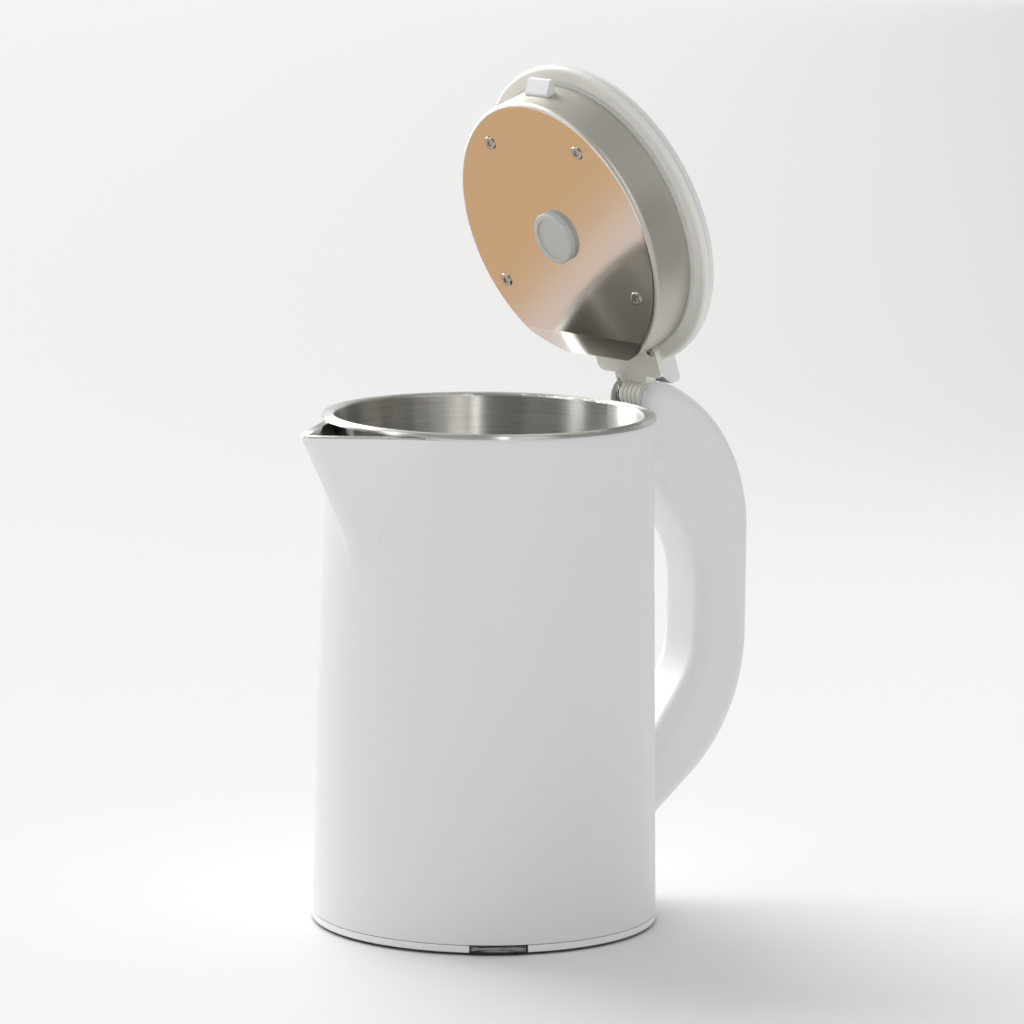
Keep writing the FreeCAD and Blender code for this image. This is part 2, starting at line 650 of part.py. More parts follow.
def make_base_cover():
    body = new_body("base_cover")
    inner = spigot_outer - d.spigot_wall
    section = [
        (d.socket_radius + d.seam_gap, d.foot_height), (d.base_radius, d.foot_height, d.cover_round_low),
        (d.base_radius, cover_top), (spigot_outer, cover_top), (spigot_outer, d.spigot_height),
        (inner, d.spigot_height), (inner, cover_top), (d.socket_radius + d.seam_gap, cover_top),
    ]
    spin(body, outline(body, "XZ", section))
    posts = [(x, y, d.lug_radius) for x, y in base_screw_spots()]
    floor = d.foot_height + d.over
    pad(body, circles(body, "XY", posts, floor), d.spigot_height - floor)
    trim = [
        (spigot_outer, cover_top), (d.base_radius + d.over, cover_top),
        (d.base_radius + d.over, d.spigot_height + d.over), (spigot_outer, d.spigot_height + d.over),
    ]
    spin(body, outline(body, "XZ", trim), "Groove")
    for side in (-1, 1):
        middle = side * (d.ear_gap + d.ear_wall / 2)
        ear = block(d.pivot_x - d.ear_long / 2, d.pivot_x + d.ear_long / 2,
                    middle - d.ear_wall / 2, middle + d.ear_wall / 2)
        pad(body, outline(body, "XY", ear, floor), d.ear_high - floor)
    reach = 2 * (d.ear_gap + d.ear_wall + d.over)
    cut_both(body, circles(body, "XZ", [(d.pivot_x, d.pivot_z, d.pin_radius)]), reach)
    shafts = [(x, y, d.screw_radius + d.screw_play) for x, y in base_screw_spots()]
    under = d.foot_height - d.over
    cut(body, circles(body, "XY", shafts, under), d.spigot_height)
    heads = [(x, y, d.head_radius + d.head_play) for x, y in base_screw_spots()]
    cut(body, circles(body, "XY", heads, under), d.screw_seat - under)
    feet = [(x, y, d.foot_radius) for x, y in foot_spots()]
    cut(body, circles(body, "XY", feet, under), d.foot_sink + d.over)
    window_sector(body, "Groove", under, d.spigot_height + d.over,
                  d.base_radius - d.window_depth - d.fit_gap, d.base_radius + d.over,
                  d.window_width + 2 * d.fit_gap)
    window_sector(body, "Groove", cover_top, d.spigot_height + d.over,
                  d.base_radius - d.window_depth - d.board_wall - d.fit_gap, d.base_radius,
                  board_width + d.over)
    finish(body, "base_cover")


def make_base_screws():
    pieces = []
    for k, (x, y) in enumerate(base_screw_spots()):
        head = round_bar(f"base_head{k}", d.head_radius, d.head_wall, x, y, d.screw_seat - d.head_wall)
        shaft = round_bar(f"base_shaft{k}", d.screw_radius, d.base_screw_length, x, y, d.screw_seat)
        pieces.append(joined(f"base_screw{k}", [head, shaft]))
    finish(group("base_screws", pieces), "base_screws")


def make_feet():
    pads = []
    for k, (x, y) in enumerate(foot_spots()):
        pads.append(round_bar(f"foot{k}", d.foot_radius, d.foot_height + d.foot_sink, x, y, 0))
    finish(group("feet", pads), "rubber_feet")


def make_indicator():
    inner = d.base_radius - d.window_depth
    lens_back = d.base_radius - d.lens_depth - d.bezel_edge
    lens_low = d.window_low + d.bezel_edge
    lens_high = d.window_high - d.bezel_edge
    lens_width = d.window_width - 2 * d.bezel_edge
    body = new_body("bezel")
    window_sector(body, "Revolution", d.window_low, d.window_high, inner, d.base_radius, d.window_width)
    window_sector(body, "Groove", lens_low, lens_high, lens_back, d.base_radius + d.over, lens_width)
    finish(body, "indicator_frame")
    lens = new_body("lens")
    window_sector(lens, "Revolution", lens_low, lens_high, lens_back, lens_back + d.lens_depth, lens_width)
    finish(lens, "indicator_window")
    board = new_body("board")
    window_sector(board, "Revolution", cover_top, d.spigot_height - d.over, inner - d.board_wall, inner,
                  board_width)
    finish(board, "indicator_board")


def make_heater():
    plate_low = liner_under - d.plate_wall
    plate = round_bar("plate", d.plate_radius, d.plate_wall, 0, 0, plate_low)
    finish(plate, "heater_plate")
    body = new_body("element")
    inner = d.element_circle - d.element_width / 2
    outer = d.element_circle + d.element_width / 2
    low = plate_low - d.element_height
    section = [
        (inner, low, d.element_round), (outer, low, d.element_round), (outer, plate_low), (inner, plate_low),
    ]
    spin(body, outline(body, "XZ", section, 0, 180), "Revolution", 360 - d.element_gap)
    finish(body, "heating_element")
    ends = []
    for k, (x, y) in enumerate(terminal_spots()):
        foot = low - d.terminal_length
        ends.append(round_bar(f"terminal{k}", d.terminal_radius, d.terminal_length, x, y, foot))
    finish(group("terminals", ends), "heater_terminals")


def terminal_spots():
    turn = d.element_gap / 2 + d.terminal_turn
    return [polar(d.element_circle, turn), polar(d.element_circle, -turn)]


def make_control():
    body = new_body("control")
    shape = rounded(block(-d.control_long / 2, d.control_long / 2, -d.control_wide / 2, d.control_wide / 2),
                    d.control_round)
    pad(body, outline(body, "XY", shape, d.control_low), d.control_high - d.control_low)
    finish(body, "control_unit")
    plate_low = liner_under - d.plate_wall
    studs = []
    for k in range(3):
        x, y = polar(d.stud_circle, 60 + 120 * k)
        studs.append(round_bar(f"stud{k}", d.stud_radius, plate_low - d.control_high, x, y, d.control_high))
    finish(group("studs", studs), "control_studs")
    discs = []
    for k, side in enumerate((-1, 1)):
        y = side * (d.disc_radius + d.disc_gap)
        discs.append(round_bar(f"disc{k}", d.disc_radius, d.disc_wall, d.disc_circle, y, d.control_high))
    finish(group("discs", discs), "cutout_bimetals")
    socket = new_body("socket")
    low = d.socket_low
    roof = low + d.slot_depth
    section = [
        (d.socket_bore, low), (d.slot_inner, low), (d.slot_inner, roof), (d.slot_inner + d.slot_width, roof),
        (d.slot_inner + d.slot_width, low), (d.slot_outer, low), (d.slot_outer, roof),
        (d.slot_outer + d.slot_width, roof), (d.slot_outer + d.slot_width, low), (d.socket_radius, low),
        (d.socket_radius, d.control_low), (ZERO, d.control_low), (ZERO, low + d.socket_depth),
        (d.socket_bore, low + d.socket_depth),
    ]
    spin(socket, outline(socket, "XZ", section))
    finish(socket, "connector_socket")
    rings = new_body("rings")
    sketch = new_sketch(rings, "XZ")
    for inner in (d.slot_inner, d.slot_outer):
        add_outline(sketch, block(inner, inner + d.ring_wall, low + d.ring_inset, roof))
    spin(rings, sketch)
    finish(rings, "contact_rings")
    fuse_y = d.control_wide / 2 - d.fuse_inset
    fuse = round_bar("fuse", d.fuse_radius, d.fuse_length, -d.fuse_length / 2, fuse_y,
                     d.control_high + d.fuse_radius, **ALONG_X)
    finish(fuse, "thermal_fuse")


def make_switch():
    body = new_body("lever")
    low = d.pivot_z - d.lever_wall / 2
    high = d.pivot_z + d.lever_wall / 2
    side = rounded(block(d.lever_heel, d.lever_tip, low, high), d.lever_round)
    pad_both(body, outline(body, "XZ", side), 2 * d.lever_half)
    pad_both(body, circles(body, "XZ", [(d.pivot_x, d.pivot_z, d.hub_radius)]), 2 * d.lever_half)
    bore = d.pin_radius + d.running_gap
    cut_both(body, circles(body, "XZ", [(d.pivot_x, d.pivot_z, bore)]), 2 * (d.lever_half + d.over))
    finish(body, "switch_lever")
    half = d.ear_gap + d.ear_wall
    pin = round_bar("lever_pin", d.pin_radius, 2 * half, d.pivot_x, -half, d.pivot_z, **ALONG_Y)
    finish(pin, "switch_pin")
    housing = new_body("housing")
    front = d.pivot_x + d.ear_long / 2
    back = front - d.housing_long
    wide = rounded(block(back, front, -half, half), d.housing_round)
    pad(housing, outline(housing, "XY", wide, d.ear_high), d.housing_high - d.ear_high)
    room_half = half - d.housing_wall
    room = block(back + d.housing_wall, front - d.housing_wall, -room_half, room_half)
    cut(housing, outline(housing, "XY", room, d.ear_high), d.housing_high - d.ear_high - d.housing_wall)
    inlet = circles(housing, "YZ", [(ZERO, d.tube_low, d.tube_radius)], front - d.housing_wall - d.over)
    cut(housing, inlet, d.housing_wall + 2 * d.over)
    finish(housing, "steam_switch_housing")
    disc = round_bar("steam_disc", d.steam_disc, d.disc_wall, back + d.housing_wall, 0,
                     d.housing_high - d.steam_disc_drop, **ALONG_X)
    finish(disc, "steam_bimetal")


# Handle and the steam path inside it

def along(first, second, x):
    # height of the line through two corners at x
    return first[1] + (x - first[0]) * (second[1] - first[1]) / (second[0] - first[0])


heel = (d.handle_root, d.heel_z)
elbow = (d.grip_out, d.elbow_z, d.elbow_round)
shoulder = (d.grip_out, d.shoulder_z, d.shoulder_round)
crest = (d.crest_x, d.ear_top, d.crest_round)
collar = (d.handle_root, d.collar_z)
throat = [
    (d.throat_x, d.throat_high, d.collar_round), (d.grip_in, d.grip_high, d.inner_round),
    (d.grip_in, d.grip_low, d.inner_round), (d.throat_x, d.throat_low, d.throat_round),
]
toe = (d.handle_root, d.toe_z)
screw_posts = [
    (d.post_high_x, d.post_high_z), (d.post_grip_x, d.post_grip_z), (d.post_low_x, d.post_low_z),
]
screw_depth = d.handle_half - d.handle_side - d.post_floor


def handle_cavity():
    end = d.handle_end - d.handle_wall
    high = (d.grip_out, d.slot_floor, d.cavity_round)
    guide = [
        (end, along(heel, elbow, end)), elbow, high, (end, d.slot_floor),
        (end, along(collar, throat[0], end)), *throat, (end, along(toe, throat[-1], end)),
    ]
    return inset(guide, d.handle_wall)


def make_handle_half(name, side):
    # side is +1 for the half at +Y, which takes the screw heads, and -1 for the half at -Y
    body = new_body(name)

    def half_pad(sketch, length):
        return pad(body, sketch, length, Reversed=side > 0)

    def half_cut(sketch, length):
        return feature(body, "Pocket", sketch, Length=size(length), Reversed=side < 0)

    front = [
        crest, (d.ear_front, d.ear_top, d.ear_round), (d.ear_front, d.seat_height),
        (d.handle_root, d.seat_height), collar,
    ]
    solid = half_pad(outline(body, "XZ", [heel, elbow, shoulder, *front, *throat, toe]), d.handle_half)
    limit = (d.handle_half - d.fit_gap).value

    def on_side(edge):
        box = edge.BoundBox
        return abs(box.YMin) > limit and abs(box.YMax) > limit and box.XMax > d.hinge_x.value

    soften(body, solid, d.handle_edge, on_side)
    low = shell_radius(shell_low) + d.fit_gap
    high = shell_radius(shell_top) + d.fit_gap
    keep_off = [(ZERO, shell_low), (low, shell_low), (high, shell_top), (ZERO, shell_top)]
    spin(body, outline(body, "XZ", keep_off), "Groove")
    half_cut(outline(body, "XZ", handle_cavity()), d.handle_half - d.handle_side)
    posts = circles(body, "XZ", [(x, z, d.post_radius) for x, z in screw_posts])
    half_pad(posts, d.handle_half - d.handle_side)
    slot = block(d.slot_front, d.slot_back, d.slot_floor, d.ear_top + d.over)
    half_cut(outline(body, "XZ", slot), d.hinge_slot)
    half_cut(circles(body, "XZ", [(d.hinge_x, d.hinge_z, d.pin_radius)]), d.hinge_pin_half)
    shaft = d.screw_radius + d.screw_play if side > 0 else d.screw_radius
    half_cut(circles(body, "XZ", [(x, z, shaft) for x, z in screw_posts]), screw_depth)
    if side > 0:
        heads = [(x, z, d.head_radius + d.head_play) for x, z in screw_posts]
        half_cut(circles(body, "XZ", heads, -screw_depth), d.handle_half)
    holes = [(ZERO, d.steam_height, tube_passage), (ZERO, d.tube_low, tube_passage)]
    cut(body, circles(body, "YZ", holes, d.handle_root), d.handle_end - d.handle_root + 2 * d.over)
    pilots = [(side * d.mount_spread, height, d.screw_radius) for height in (d.mount_low, d.mount_high)]
    cut(body, circles(body, "YZ", pilots, d.handle_root), d.handle_end - d.handle_root + 2 * d.over)
    finish(body, name)


def make_handle_screws():
    pieces = []
    for k, (x, z) in enumerate(screw_posts):
        head = round_bar(f"grip_head{k}", d.head_radius, d.head_wall, x, screw_depth, z, **ALONG_Y)
        shaft = round_bar(f"grip_shaft{k}", d.screw_radius, 2 * screw_depth, x, -screw_depth, z, **ALONG_Y)
        pieces.append(joined(f"grip_screw{k}", [head, shaft]))
    finish(group("grip_screws", pieces), "handle_screws")
    pieces = []
    inner = shell_radius(d.mount_low) - d.shell_wall
    edge = d.mount_spread + d.mount_head
    low_seat = root(inner * inner - edge * edge)
    levels = ((d.mount_high, mount_seat(), d.thin_head), (d.mount_low, low_seat, d.mount_head_wall))
    for height, seat, thick in levels:
        for side in (-1, 1):
            spot = (side * d.mount_spread, height)
            k = len(pieces)
            head = round_bar(f"mount_head{k}", d.mount_head, thick, seat - thick, *spot, **ALONG_X)
            shaft = round_bar(f"mount_shaft{k}", d.screw_radius, d.handle_end - seat, seat, *spot, **ALONG_X)
            pieces.append(joined(f"mount_screw{k}", [head, shaft]))
    finish(group("mount_screws", pieces), "handle_mount_screws")


def bent_path(points, bend):
    # straight runs through the points, each corner turned by an arc of the bend radius
    points = [Vector(*[size(number).value for number in point]) for point in points]
    edges = []
    start = points[0]
    for before, corner, after in zip(points, points[1:], points[2:]):
        back = (before - corner).normalize()
        ahead = (after - corner).normalize()
        half = back.getAngle(ahead) / 2
        reach = bend / math.tan(half)
        middle = corner + (back + ahead).normalize() * (bend / math.sin(half) - bend)
        edges.append(Part.LineSegment(start, corner + back * reach).toShape())
        edges.append(Part.Arc(corner + back * reach, middle, corner + ahead * reach).toShape())
        start = corner + ahead * reach
    edges.append(Part.LineSegment(start, points[-1]).toShape())
    return Part.Wire(edges)


def swept(path, radius):
    first = path.Edges[0]
    start = first.valueAt(first.FirstParameter)
    ahead = first.tangentAt(first.FirstParameter)
    ring = Part.Wire([Part.Circle(start, ahead, radius).toShape()])
    shell = Part.BRepOffsetAPI.MakePipeShell(path)
    shell.add(ring)
    shell.build()
    shell.makeSolid()
    return shell.shape()


def made_of(name, shape):
    thing = doc.addObject("Part::Feature", name)
    thing.Shape = shape
    return thing


def make_steam_path():
    z = d.steam_height
    start = d.liner_radius - d.over
    spigot = d.steam_hole - d.screw_play
    inner = round_bar("grommet_spigot", spigot, liner_outer + d.fit_gap - start, start, 0, z, **ALONG_X)
    flange = round_bar("grommet_flange", d.grommet_radius, d.grommet_wall, liner_outer, 0, z, **ALONG_X)
    neck = round_bar("grommet_neck", d.tube_bore, d.grommet_neck, liner_outer, 0, z, **ALONG_X)
    bore = round_bar("grommet_bore", d.grommet_bore, 2 * d.grommet_neck, start - d.over, 0, z, **ALONG_X)
    finish(without("grommet", joined("grommet_body", [inner, flange, neck]), bore), "steam_grommet")
    run = [
        (liner_outer + d.grommet_wall + d.tube_play, 0, z), (d.handle_end + d.tube_reach, 0, z),
        (d.tube_grip_x, 0, d.tube_high), (d.tube_grip_x, 0, d.tube_knee),
        (d.handle_end + d.tube_step, 0, d.tube_low), (d.pivot_x + d.ear_long / 2 - d.over, 0, d.tube_low),
    ]
    path = bent_path(run, d.tube_bend.value)
    tube = swept(path, d.tube_radius.value).cut(swept(path, d.tube_bore.value))
    finish(made_of("tube", tube), "steam_tube")


def make_wires():
    low = liner_under - d.plate_wall - d.element_height - d.terminal_length
    for label, (x, y) in zip(("live_wire", "neutral_wire"), terminal_spots()):
        level = low - d.wire_drop
        run = [(x, y, low), (x, y, level), (d.control_long / 2, y, level)]
        finish(made_of(label + "_run", swept(bent_path(run, d.wire_bend.value), d.wire_radius.value)), label)
    x, y = polar(d.base_radius - d.window_depth - d.board_wall - d.wire_gap, d.window_turn)
    level = cover_top + d.wire_radius + d.wire_gap
    high = d.control_low + d.wire_drop
    away = -d.control_wide / 2 - d.lamp_away
    run = [
        (x, y, level), (-d.lamp_x, away, level), (-d.lamp_x, away, high),
        (-d.lamp_x, -d.control_wide / 2, high),
    ]
    path = bent_path(run, d.lamp_bend.value)
    finish(made_of("lamp_wire_run", swept(path, d.wire_radius.value)), "lamp_wire")


# Hinge

def biarc(p0, t0, p1, t1):
    # two arcs that leave p0 along t0 and reach p1 along t1
    chord = p1 - p0
    both = t0 + t1
    share = 2 * (1 - t0.dot(t1))
    reach = (-chord.dot(both) + math.sqrt(chord.dot(both) ** 2 + share * chord.dot(chord))) / share
    joint = (p0 + t0 * reach + p1 - t1 * reach) / 2
    arcs = []
    for a, b, apex in ((p0, joint, p0 + t0 * reach), (joint, p1, p1 - t1 * reach)):
        middle = (a + b) / 2
        half = (b - a).Length / 2
        bend = math.acos(min(1.0, half / reach))
        towards = (apex - middle).normalize()
        arcs.append(Part.Arc(a, middle + towards * half * math.tan(bend / 2), b).toShape())
    return arcs


def coil(centre, axis, first, second, radius, pitch, angle, legs, wire):
    # wire wound along axis from the direction first over second by an angle, with legs along its ends
    slope = pitch / (2 * math.pi)

    def spot(turn):
        out = first * math.cos(turn) + second * math.sin(turn)
        ahead = (second * math.cos(turn) - first * math.sin(turn)) * radius + axis * slope
        return centre + out * radius + axis * (slope * turn), ahead.normalize()

    steps = math.ceil(angle / (math.pi / 2))
    stops = [spot(angle * k / steps) for k in range(steps + 1)]
    edges = []
    if legs[0]:
        edges.append(Part.LineSegment(stops[0][0] - stops[0][1] * legs[0], stops[0][0]).toShape())
    for (p0, t0), (p1, t1) in zip(stops, stops[1:]):
        edges += biarc(p0, t0, p1, t1)
    if legs[1]:
        edges.append(Part.LineSegment(stops[-1][0], stops[-1][0] + stops[-1][1] * legs[1]).toShape())
    path = Part.Wire(edges)
    print("least gap between turns", round(least_gap(path, radius) - 2 * wire, 3))
    return swept(path, wire)


def least_gap(path, radius):
    points = path.discretize(Distance=radius / 12)
    skip = int(12 * math.pi)
    pairs = ((p - q).Length for k, p in enumerate(points) for q in points[k + skip:])
    return min(pairs)


def make_hinge():
    half = d.hinge_pin_half
    pin = round_bar("hinge_bar", d.pin_radius, 2 * half, d.hinge_x, -half, d.hinge_z, **ALONG_Y)
    finish(pin, "hinge_pin")
    centre = Vector(d.hinge_x.value, d.coil_near.value, d.hinge_z.value)
    angle = math.radians(360 * d.coil_turns.value - 90 + d.open_angle.value)
    shape = coil(centre, Vector(0, -1, 0), Vector(-1, 0, 0), Vector(0, 0, 1), d.coil_radius.value,
                 d.coil_pitch.value, angle, (d.coil_leg.value, d.coil_arm.value), d.coil_wire.value)
    finish(made_of("hinge_coil", shape), "torsion_spring")


def make_hinge_arm():
    body = new_body("hinge_arm")
    thick = frame_low - d.arm_low
    wide = block(d.arm_front, d.arm_back, -d.arm_half, d.arm_half)
    pad(body, outline(body, "XY", rounded(wide, d.arm_round), d.arm_low), thick)
    neck = block(d.arm_back - d.arm_round, d.hinge_x, -d.barrel_far, d.barrel_near)
    pad(body, outline(body, "XY", neck, d.arm_low), thick)
    high = block(d.neck_front, d.hinge_x, -d.barrel_far, d.barrel_near)
    pad(body, outline(body, "XY", high, d.arm_low), d.neck_high - d.arm_low)
    lug = block(d.lug_front, d.lug_back, d.barrel_near - d.over, d.barrel_near + d.lug_out)
    lug_low = d.hinge_z - d.coil_radius + d.coil_wire + d.lug_gap
    pad(body, outline(body, "XY", lug, lug_low), d.neck_high - lug_low)
    core = [(d.hinge_x, d.hinge_z, d.barrel_radius - d.rib_depth)]
    pad(body, circles(body, "XZ", core, -d.barrel_near), d.barrel_far + d.barrel_near)
    rib = [(d.hinge_x, d.hinge_z, d.barrel_radius)]
    for k in range(5):
        start = d.barrel_near - k * d.rib_pitch
        pad(body, circles(body, "XZ", rib, -start), d.rib_pitch - d.rib_width)
    bore = [(d.hinge_x, d.hinge_z, d.pin_radius + d.running_gap)]
    cut_both(body, circles(body, "XZ", bore), 4 * d.barrel_far)
    shafts = [(d.arm_screw_x, side * d.arm_screw_y, d.arm_screw + d.screw_play) for side in (-1, 1)]
    cut(body, circles(body, "XY", shafts, d.arm_low - d.over), thick + 2 * d.over)
    finish(body, "hinge_arm", lid=True)
    pieces = []
    for k, side in enumerate((-1, 1)):
        spot = (d.arm_screw_x, side * d.arm_screw_y)
        head = round_bar(f"arm_head{k}", d.mount_head, d.arm_head_wall, *spot, d.arm_low - d.arm_head_wall)
        length = frame_top - d.arm_low - d.arm_screw / 2
        shaft = round_bar(f"arm_shaft{k}", d.arm_screw, length, *spot, d.arm_low)
        pieces.append(joined(f"arm_screw{k}", [head, shaft]))
    finish(group("arm_screws", pieces), "hinge_arm_screws", lid=True)


# Lid

def lid_screw_spots():
    spots = []
    for turn in (d.front_screw_turn, d.rear_screw_turn):
        spots.append(polar(d.lid_screw_circle, turn))
        spots.append(polar(d.lid_screw_circle, -turn))
    return spots


def cup_solid(name, depth, rise):
    # the cup's outside, or with a depth the space inside its wall
    body = new_body(name)
    radius = d.cup_radius - depth
    chord = d.cup_chord - depth
    low = d.lid_face + depth
    sketch = new_sketch(body, "XY", low)
    add_chorded(sketch, radius, chord)
    pad(body, sketch, cup_top - low + rise)
    slope = d.bevel_rise / (d.cup_chord - d.bevel_start)
    lean = root(1 + slope * slope)
    start = d.bevel_start - depth * (lean - 1) / slope
    far = d.cup_chord + d.over
    wedge = [(start, low), (far, low), (far, low + (far - start) * slope)]
    base = cut_both(body, outline(body, "XZ", wedge), 4 * d.cup_radius)

    def lower_rim(edge):
        low_edge = edge.BoundBox.ZMax < d.lid_face.value + 2 * d.bevel_rise.value
        return low_edge and edge.BoundBox.XMin < -radius.value / 2

    soften(body, base, d.cup_edge - depth, lower_rim)
    return body


def make_cup():
    outer = cup_solid("cup_outer", ZERO, ZERO)
    shape = without("cup_shape", outer, cup_solid("cup_inner", d.cup_wall, d.over))
    tools = []
    under = d.lid_face - d.over
    for k, (x, y) in enumerate(lid_screw_spots()):
        tools.append(round_bar(f"cup_hole{k}", d.screw_radius + d.screw_play, d.cup_edge, x, y, under))
    tools.append(round_bar("cup_plug_hole", d.plug_stem + d.plug_play, d.cup_edge, 0, 0, under))
    window = doc.addObject("Part::Box", "cup_window")
    half = d.bar_half + d.slide_gap
    bind(window, "Length", 2 * d.cup_edge)
    bind(window, "Width", 2 * half)
    bind(window, "Height", d.bar_high - d.bar_low + 2 * d.slide_gap)
    place(window, -(d.cup_radius + d.over), -half, d.bar_low - d.slide_gap)
    tools.append(window)
    finish(without("cup", shape, group("cup_tools", tools)), "lid_cup", lid=True)


def make_gasket():
    body = new_body("gasket")
    sketch = new_sketch(body, "XY", cup_top)
    add_chorded(sketch, d.cup_radius + d.gasket_out, d.cup_chord - d.gasket_back)
    add_chorded(sketch, d.cup_radius - d.gasket_in, d.cup_chord - d.gasket_chord)
    pad(body, sketch, d.gasket_wall)
    finish(body, "lid_gasket", lid=True)


def make_frame():
    body = new_body("frame")
    section = [
        (ZERO, frame_low), (d.lid_radius, frame_low, d.frame_edge), (d.lid_radius, frame_top),
        (ZERO, frame_top),
    ]
    spin(body, outline(body, "XZ", section))
    bosses = [(x, y, d.boss_radius) for x, y in lid_screw_spots()]
    pad(body, circles(body, "XY", bosses, cup_floor), frame_low - cup_floor + d.over)
    side = d.bar_half + d.guide_gap
    outer = side + d.guide_wall
    low = d.bar_low - d.guide_gap
    for front in (-d.guide_front, d.guide_back):
        sketch = outline(body, "YZ", block(-outer, outer, low - d.guide_floor, frame_low + d.over), front)
        add_outline(sketch, block(-side, side, low, d.bar_high + d.guide_gap))
        pad(body, sketch, d.guide_long)
    post = block(d.spring_post, d.spring_post + d.post_wall, -d.post_half, d.post_half)
    post_low = d.bar_low - d.post_drop
    pad(body, outline(body, "XY", post, post_low), frame_low - post_low + d.over)
    pilots = [(x, y, d.screw_radius) for x, y in lid_screw_spots()]
    cut(body, circles(body, "XY", pilots, cup_floor), d.lid_screw_length + d.over)
    arm_pilots = [(d.arm_screw_x, side * d.arm_screw_y, d.arm_screw) for side in (-1, 1)]
    cut(body, circles(body, "XY", arm_pilots, frame_low - d.over), d.frame_wall + d.over - d.arm_screw / 2)
    hole = block(d.foot_front - d.slide_gap, d.foot_back + d.slide_gap,
                 -(d.foot_half + d.slide_gap), d.foot_half + d.slide_gap)
    cut(body, outline(body, "XY", hole, frame_low - d.over), d.frame_wall + 2 * d.over)
    finish(body, "lid_frame", lid=True)


def make_cover():
    body = new_body("cover")
    top = cover_low + d.cover_rise
    crown = top - d.crown_drop
    edge = cover_low + d.cover_side
    wall = d.cover_wall
    section = [
        (ZERO, top - wall), (d.crown_radius, crown - wall, d.crown_round),
        (d.lid_radius - wall, edge - wall + d.seam_gap, d.cover_round_in),
        (d.lid_radius - wall, cover_low), (d.lid_radius, cover_low), (d.lid_radius, edge, d.cover_round),
        (d.crown_radius, crown, d.crown_round), (ZERO, top),
    ]
    spin(body, outline(body, "XZ", section))
    tail = [
        (d.tail_front, cover_low + d.over), (d.tail_knee, d.tail_low),
        (d.tail_back, d.tail_low + d.tail_rise, d.tail_under_round),
        (d.tail_back, d.tail_top, d.tail_tip_round), (d.tail_crest, d.tail_top, d.tail_round),
        (d.tail_front, d.tail_heel),
    ]
    pad_both(body, outline(body, "XZ", tail), 2 * d.tail_half)
    gap = d.slide_gap
    long = d.button_long / 2 + gap
    wide = d.button_wide / 2 + gap
    hole = rounded(block(d.button_x - long, d.button_x + long, -wide, wide), d.button_round + gap)
    cut(body, outline(body, "XY", hole, cover_low + d.over), d.cover_rise + d.over)
    finish(body, "lid_cover", lid=True)


def make_lid_screws():
    pieces = []
    for k, spot in enumerate(lid_screw_spots()):
        head = round_bar(f"lid_head{k}", d.head_radius, d.lid_head_wall, *spot, d.lid_face - d.lid_head_wall)
        shaft = round_bar(f"lid_shaft{k}", d.screw_radius, d.lid_screw_length, *spot, d.lid_face)
        pieces.append(joined(f"lid_screw{k}", [head, shaft]))
    finish(group("lid_screw_set", pieces), "lid_screws", lid=True)


def make_plug():
    body = new_body("plug")
    low = d.lid_face - d.plug_high
    section = [
        (ZERO, low + d.plug_sink), (d.plug_radius - d.plug_lip, low + d.plug_sink),
        (d.plug_radius - d.plug_lip, low), (d.plug_radius, low, d.plug_sink), (d.plug_radius, d.lid_face),
        (d.plug_stem, d.lid_face), (d.plug_stem, cup_floor + d.stem_out), (ZERO, cup_floor + d.stem_out),
    ]
    spin(body, outline(body, "XZ", section))
    finish(body, "steam_plug", lid=True)
    nut = new_body("nut")
    ring = block(d.plug_stem, d.nut_radius, cup_floor, cup_floor + d.nut_wall)
    spin(nut, outline(nut, "XZ", ring))
    finish(nut, "plug_nut", lid=True)


# Latch

def make_latch():
    body = new_body("latch")
    side = [
        (-d.tongue_root, d.bar_low), (d.bar_back, d.bar_low), (d.bar_back, d.bar_high),
        (-d.tongue_tip, d.bar_high), (-d.tongue_tip, d.bar_high - d.tongue_flat),
    ]
    pad_both(body, outline(body, "XZ", side), 2 * d.bar_half)
    front = d.foot_front - d.travel - d.slide_gap - d.fit_gap
    thick = d.bar_high - d.bar_low
    window = [
        (front, d.bar_low - d.over), (d.ramp_foot - d.over, d.bar_low - d.over),
        (d.ramp_foot + thick + d.over, d.bar_high + d.over), (front, d.bar_high + d.over),
    ]
    cut_both(body, outline(body, "XZ", window), 2 * (d.foot_half + d.slide_gap))
    finish(body, "latch_slide", lid=True)
    centre = Vector(d.bar_back.value + d.latch_wire.value, 0, (d.bar_low.value + d.bar_high.value) / 2)
    room = d.spring_post.value - d.bar_back.value - 2 * d.latch_wire.value
    turns = d.latch_turns.value
    shape = coil(centre, Vector(1, 0, 0), Vector(0, 0, 1), Vector(0, -1, 0), d.latch_coil.value,
                 room / turns, 2 * math.pi * turns, (0, 0), d.latch_wire.value)
    finish(made_of("latch_coil_run", shape), "latch_spring", lid=True)


def make_button():
    body = new_body("button")
    long = d.button_long / 2
    wide = d.button_wide / 2
    top = cover_low + d.cover_rise - d.crown_drop * d.button_x / d.crown_radius + d.button_rise
    head = rounded(block(d.button_x - long, d.button_x + long, -wide, wide), d.button_round)
    pad(body, outline(body, "XY", head, d.flange_low), top - d.flange_low)
    long = long + d.flange_out
    wide = wide + d.flange_out
    flange = rounded(block(d.button_x - long, d.button_x + long, -wide, wide), d.button_round)
    pad(body, outline(body, "XY", flange, d.flange_low), d.flange_wall)
    line = ramp_line + d.slide_gap
    foot = [
        (d.foot_front, d.foot_low), (d.foot_low - line, d.foot_low), (d.foot_back, d.foot_back + line),
        (d.foot_back, d.flange_low + d.flange_wall), (d.foot_front, d.flange_low + d.flange_wall),
    ]
    pad_both(body, outline(body, "XZ", foot), 2 * d.foot_half)
    finish(body, "release_button", lid=True)


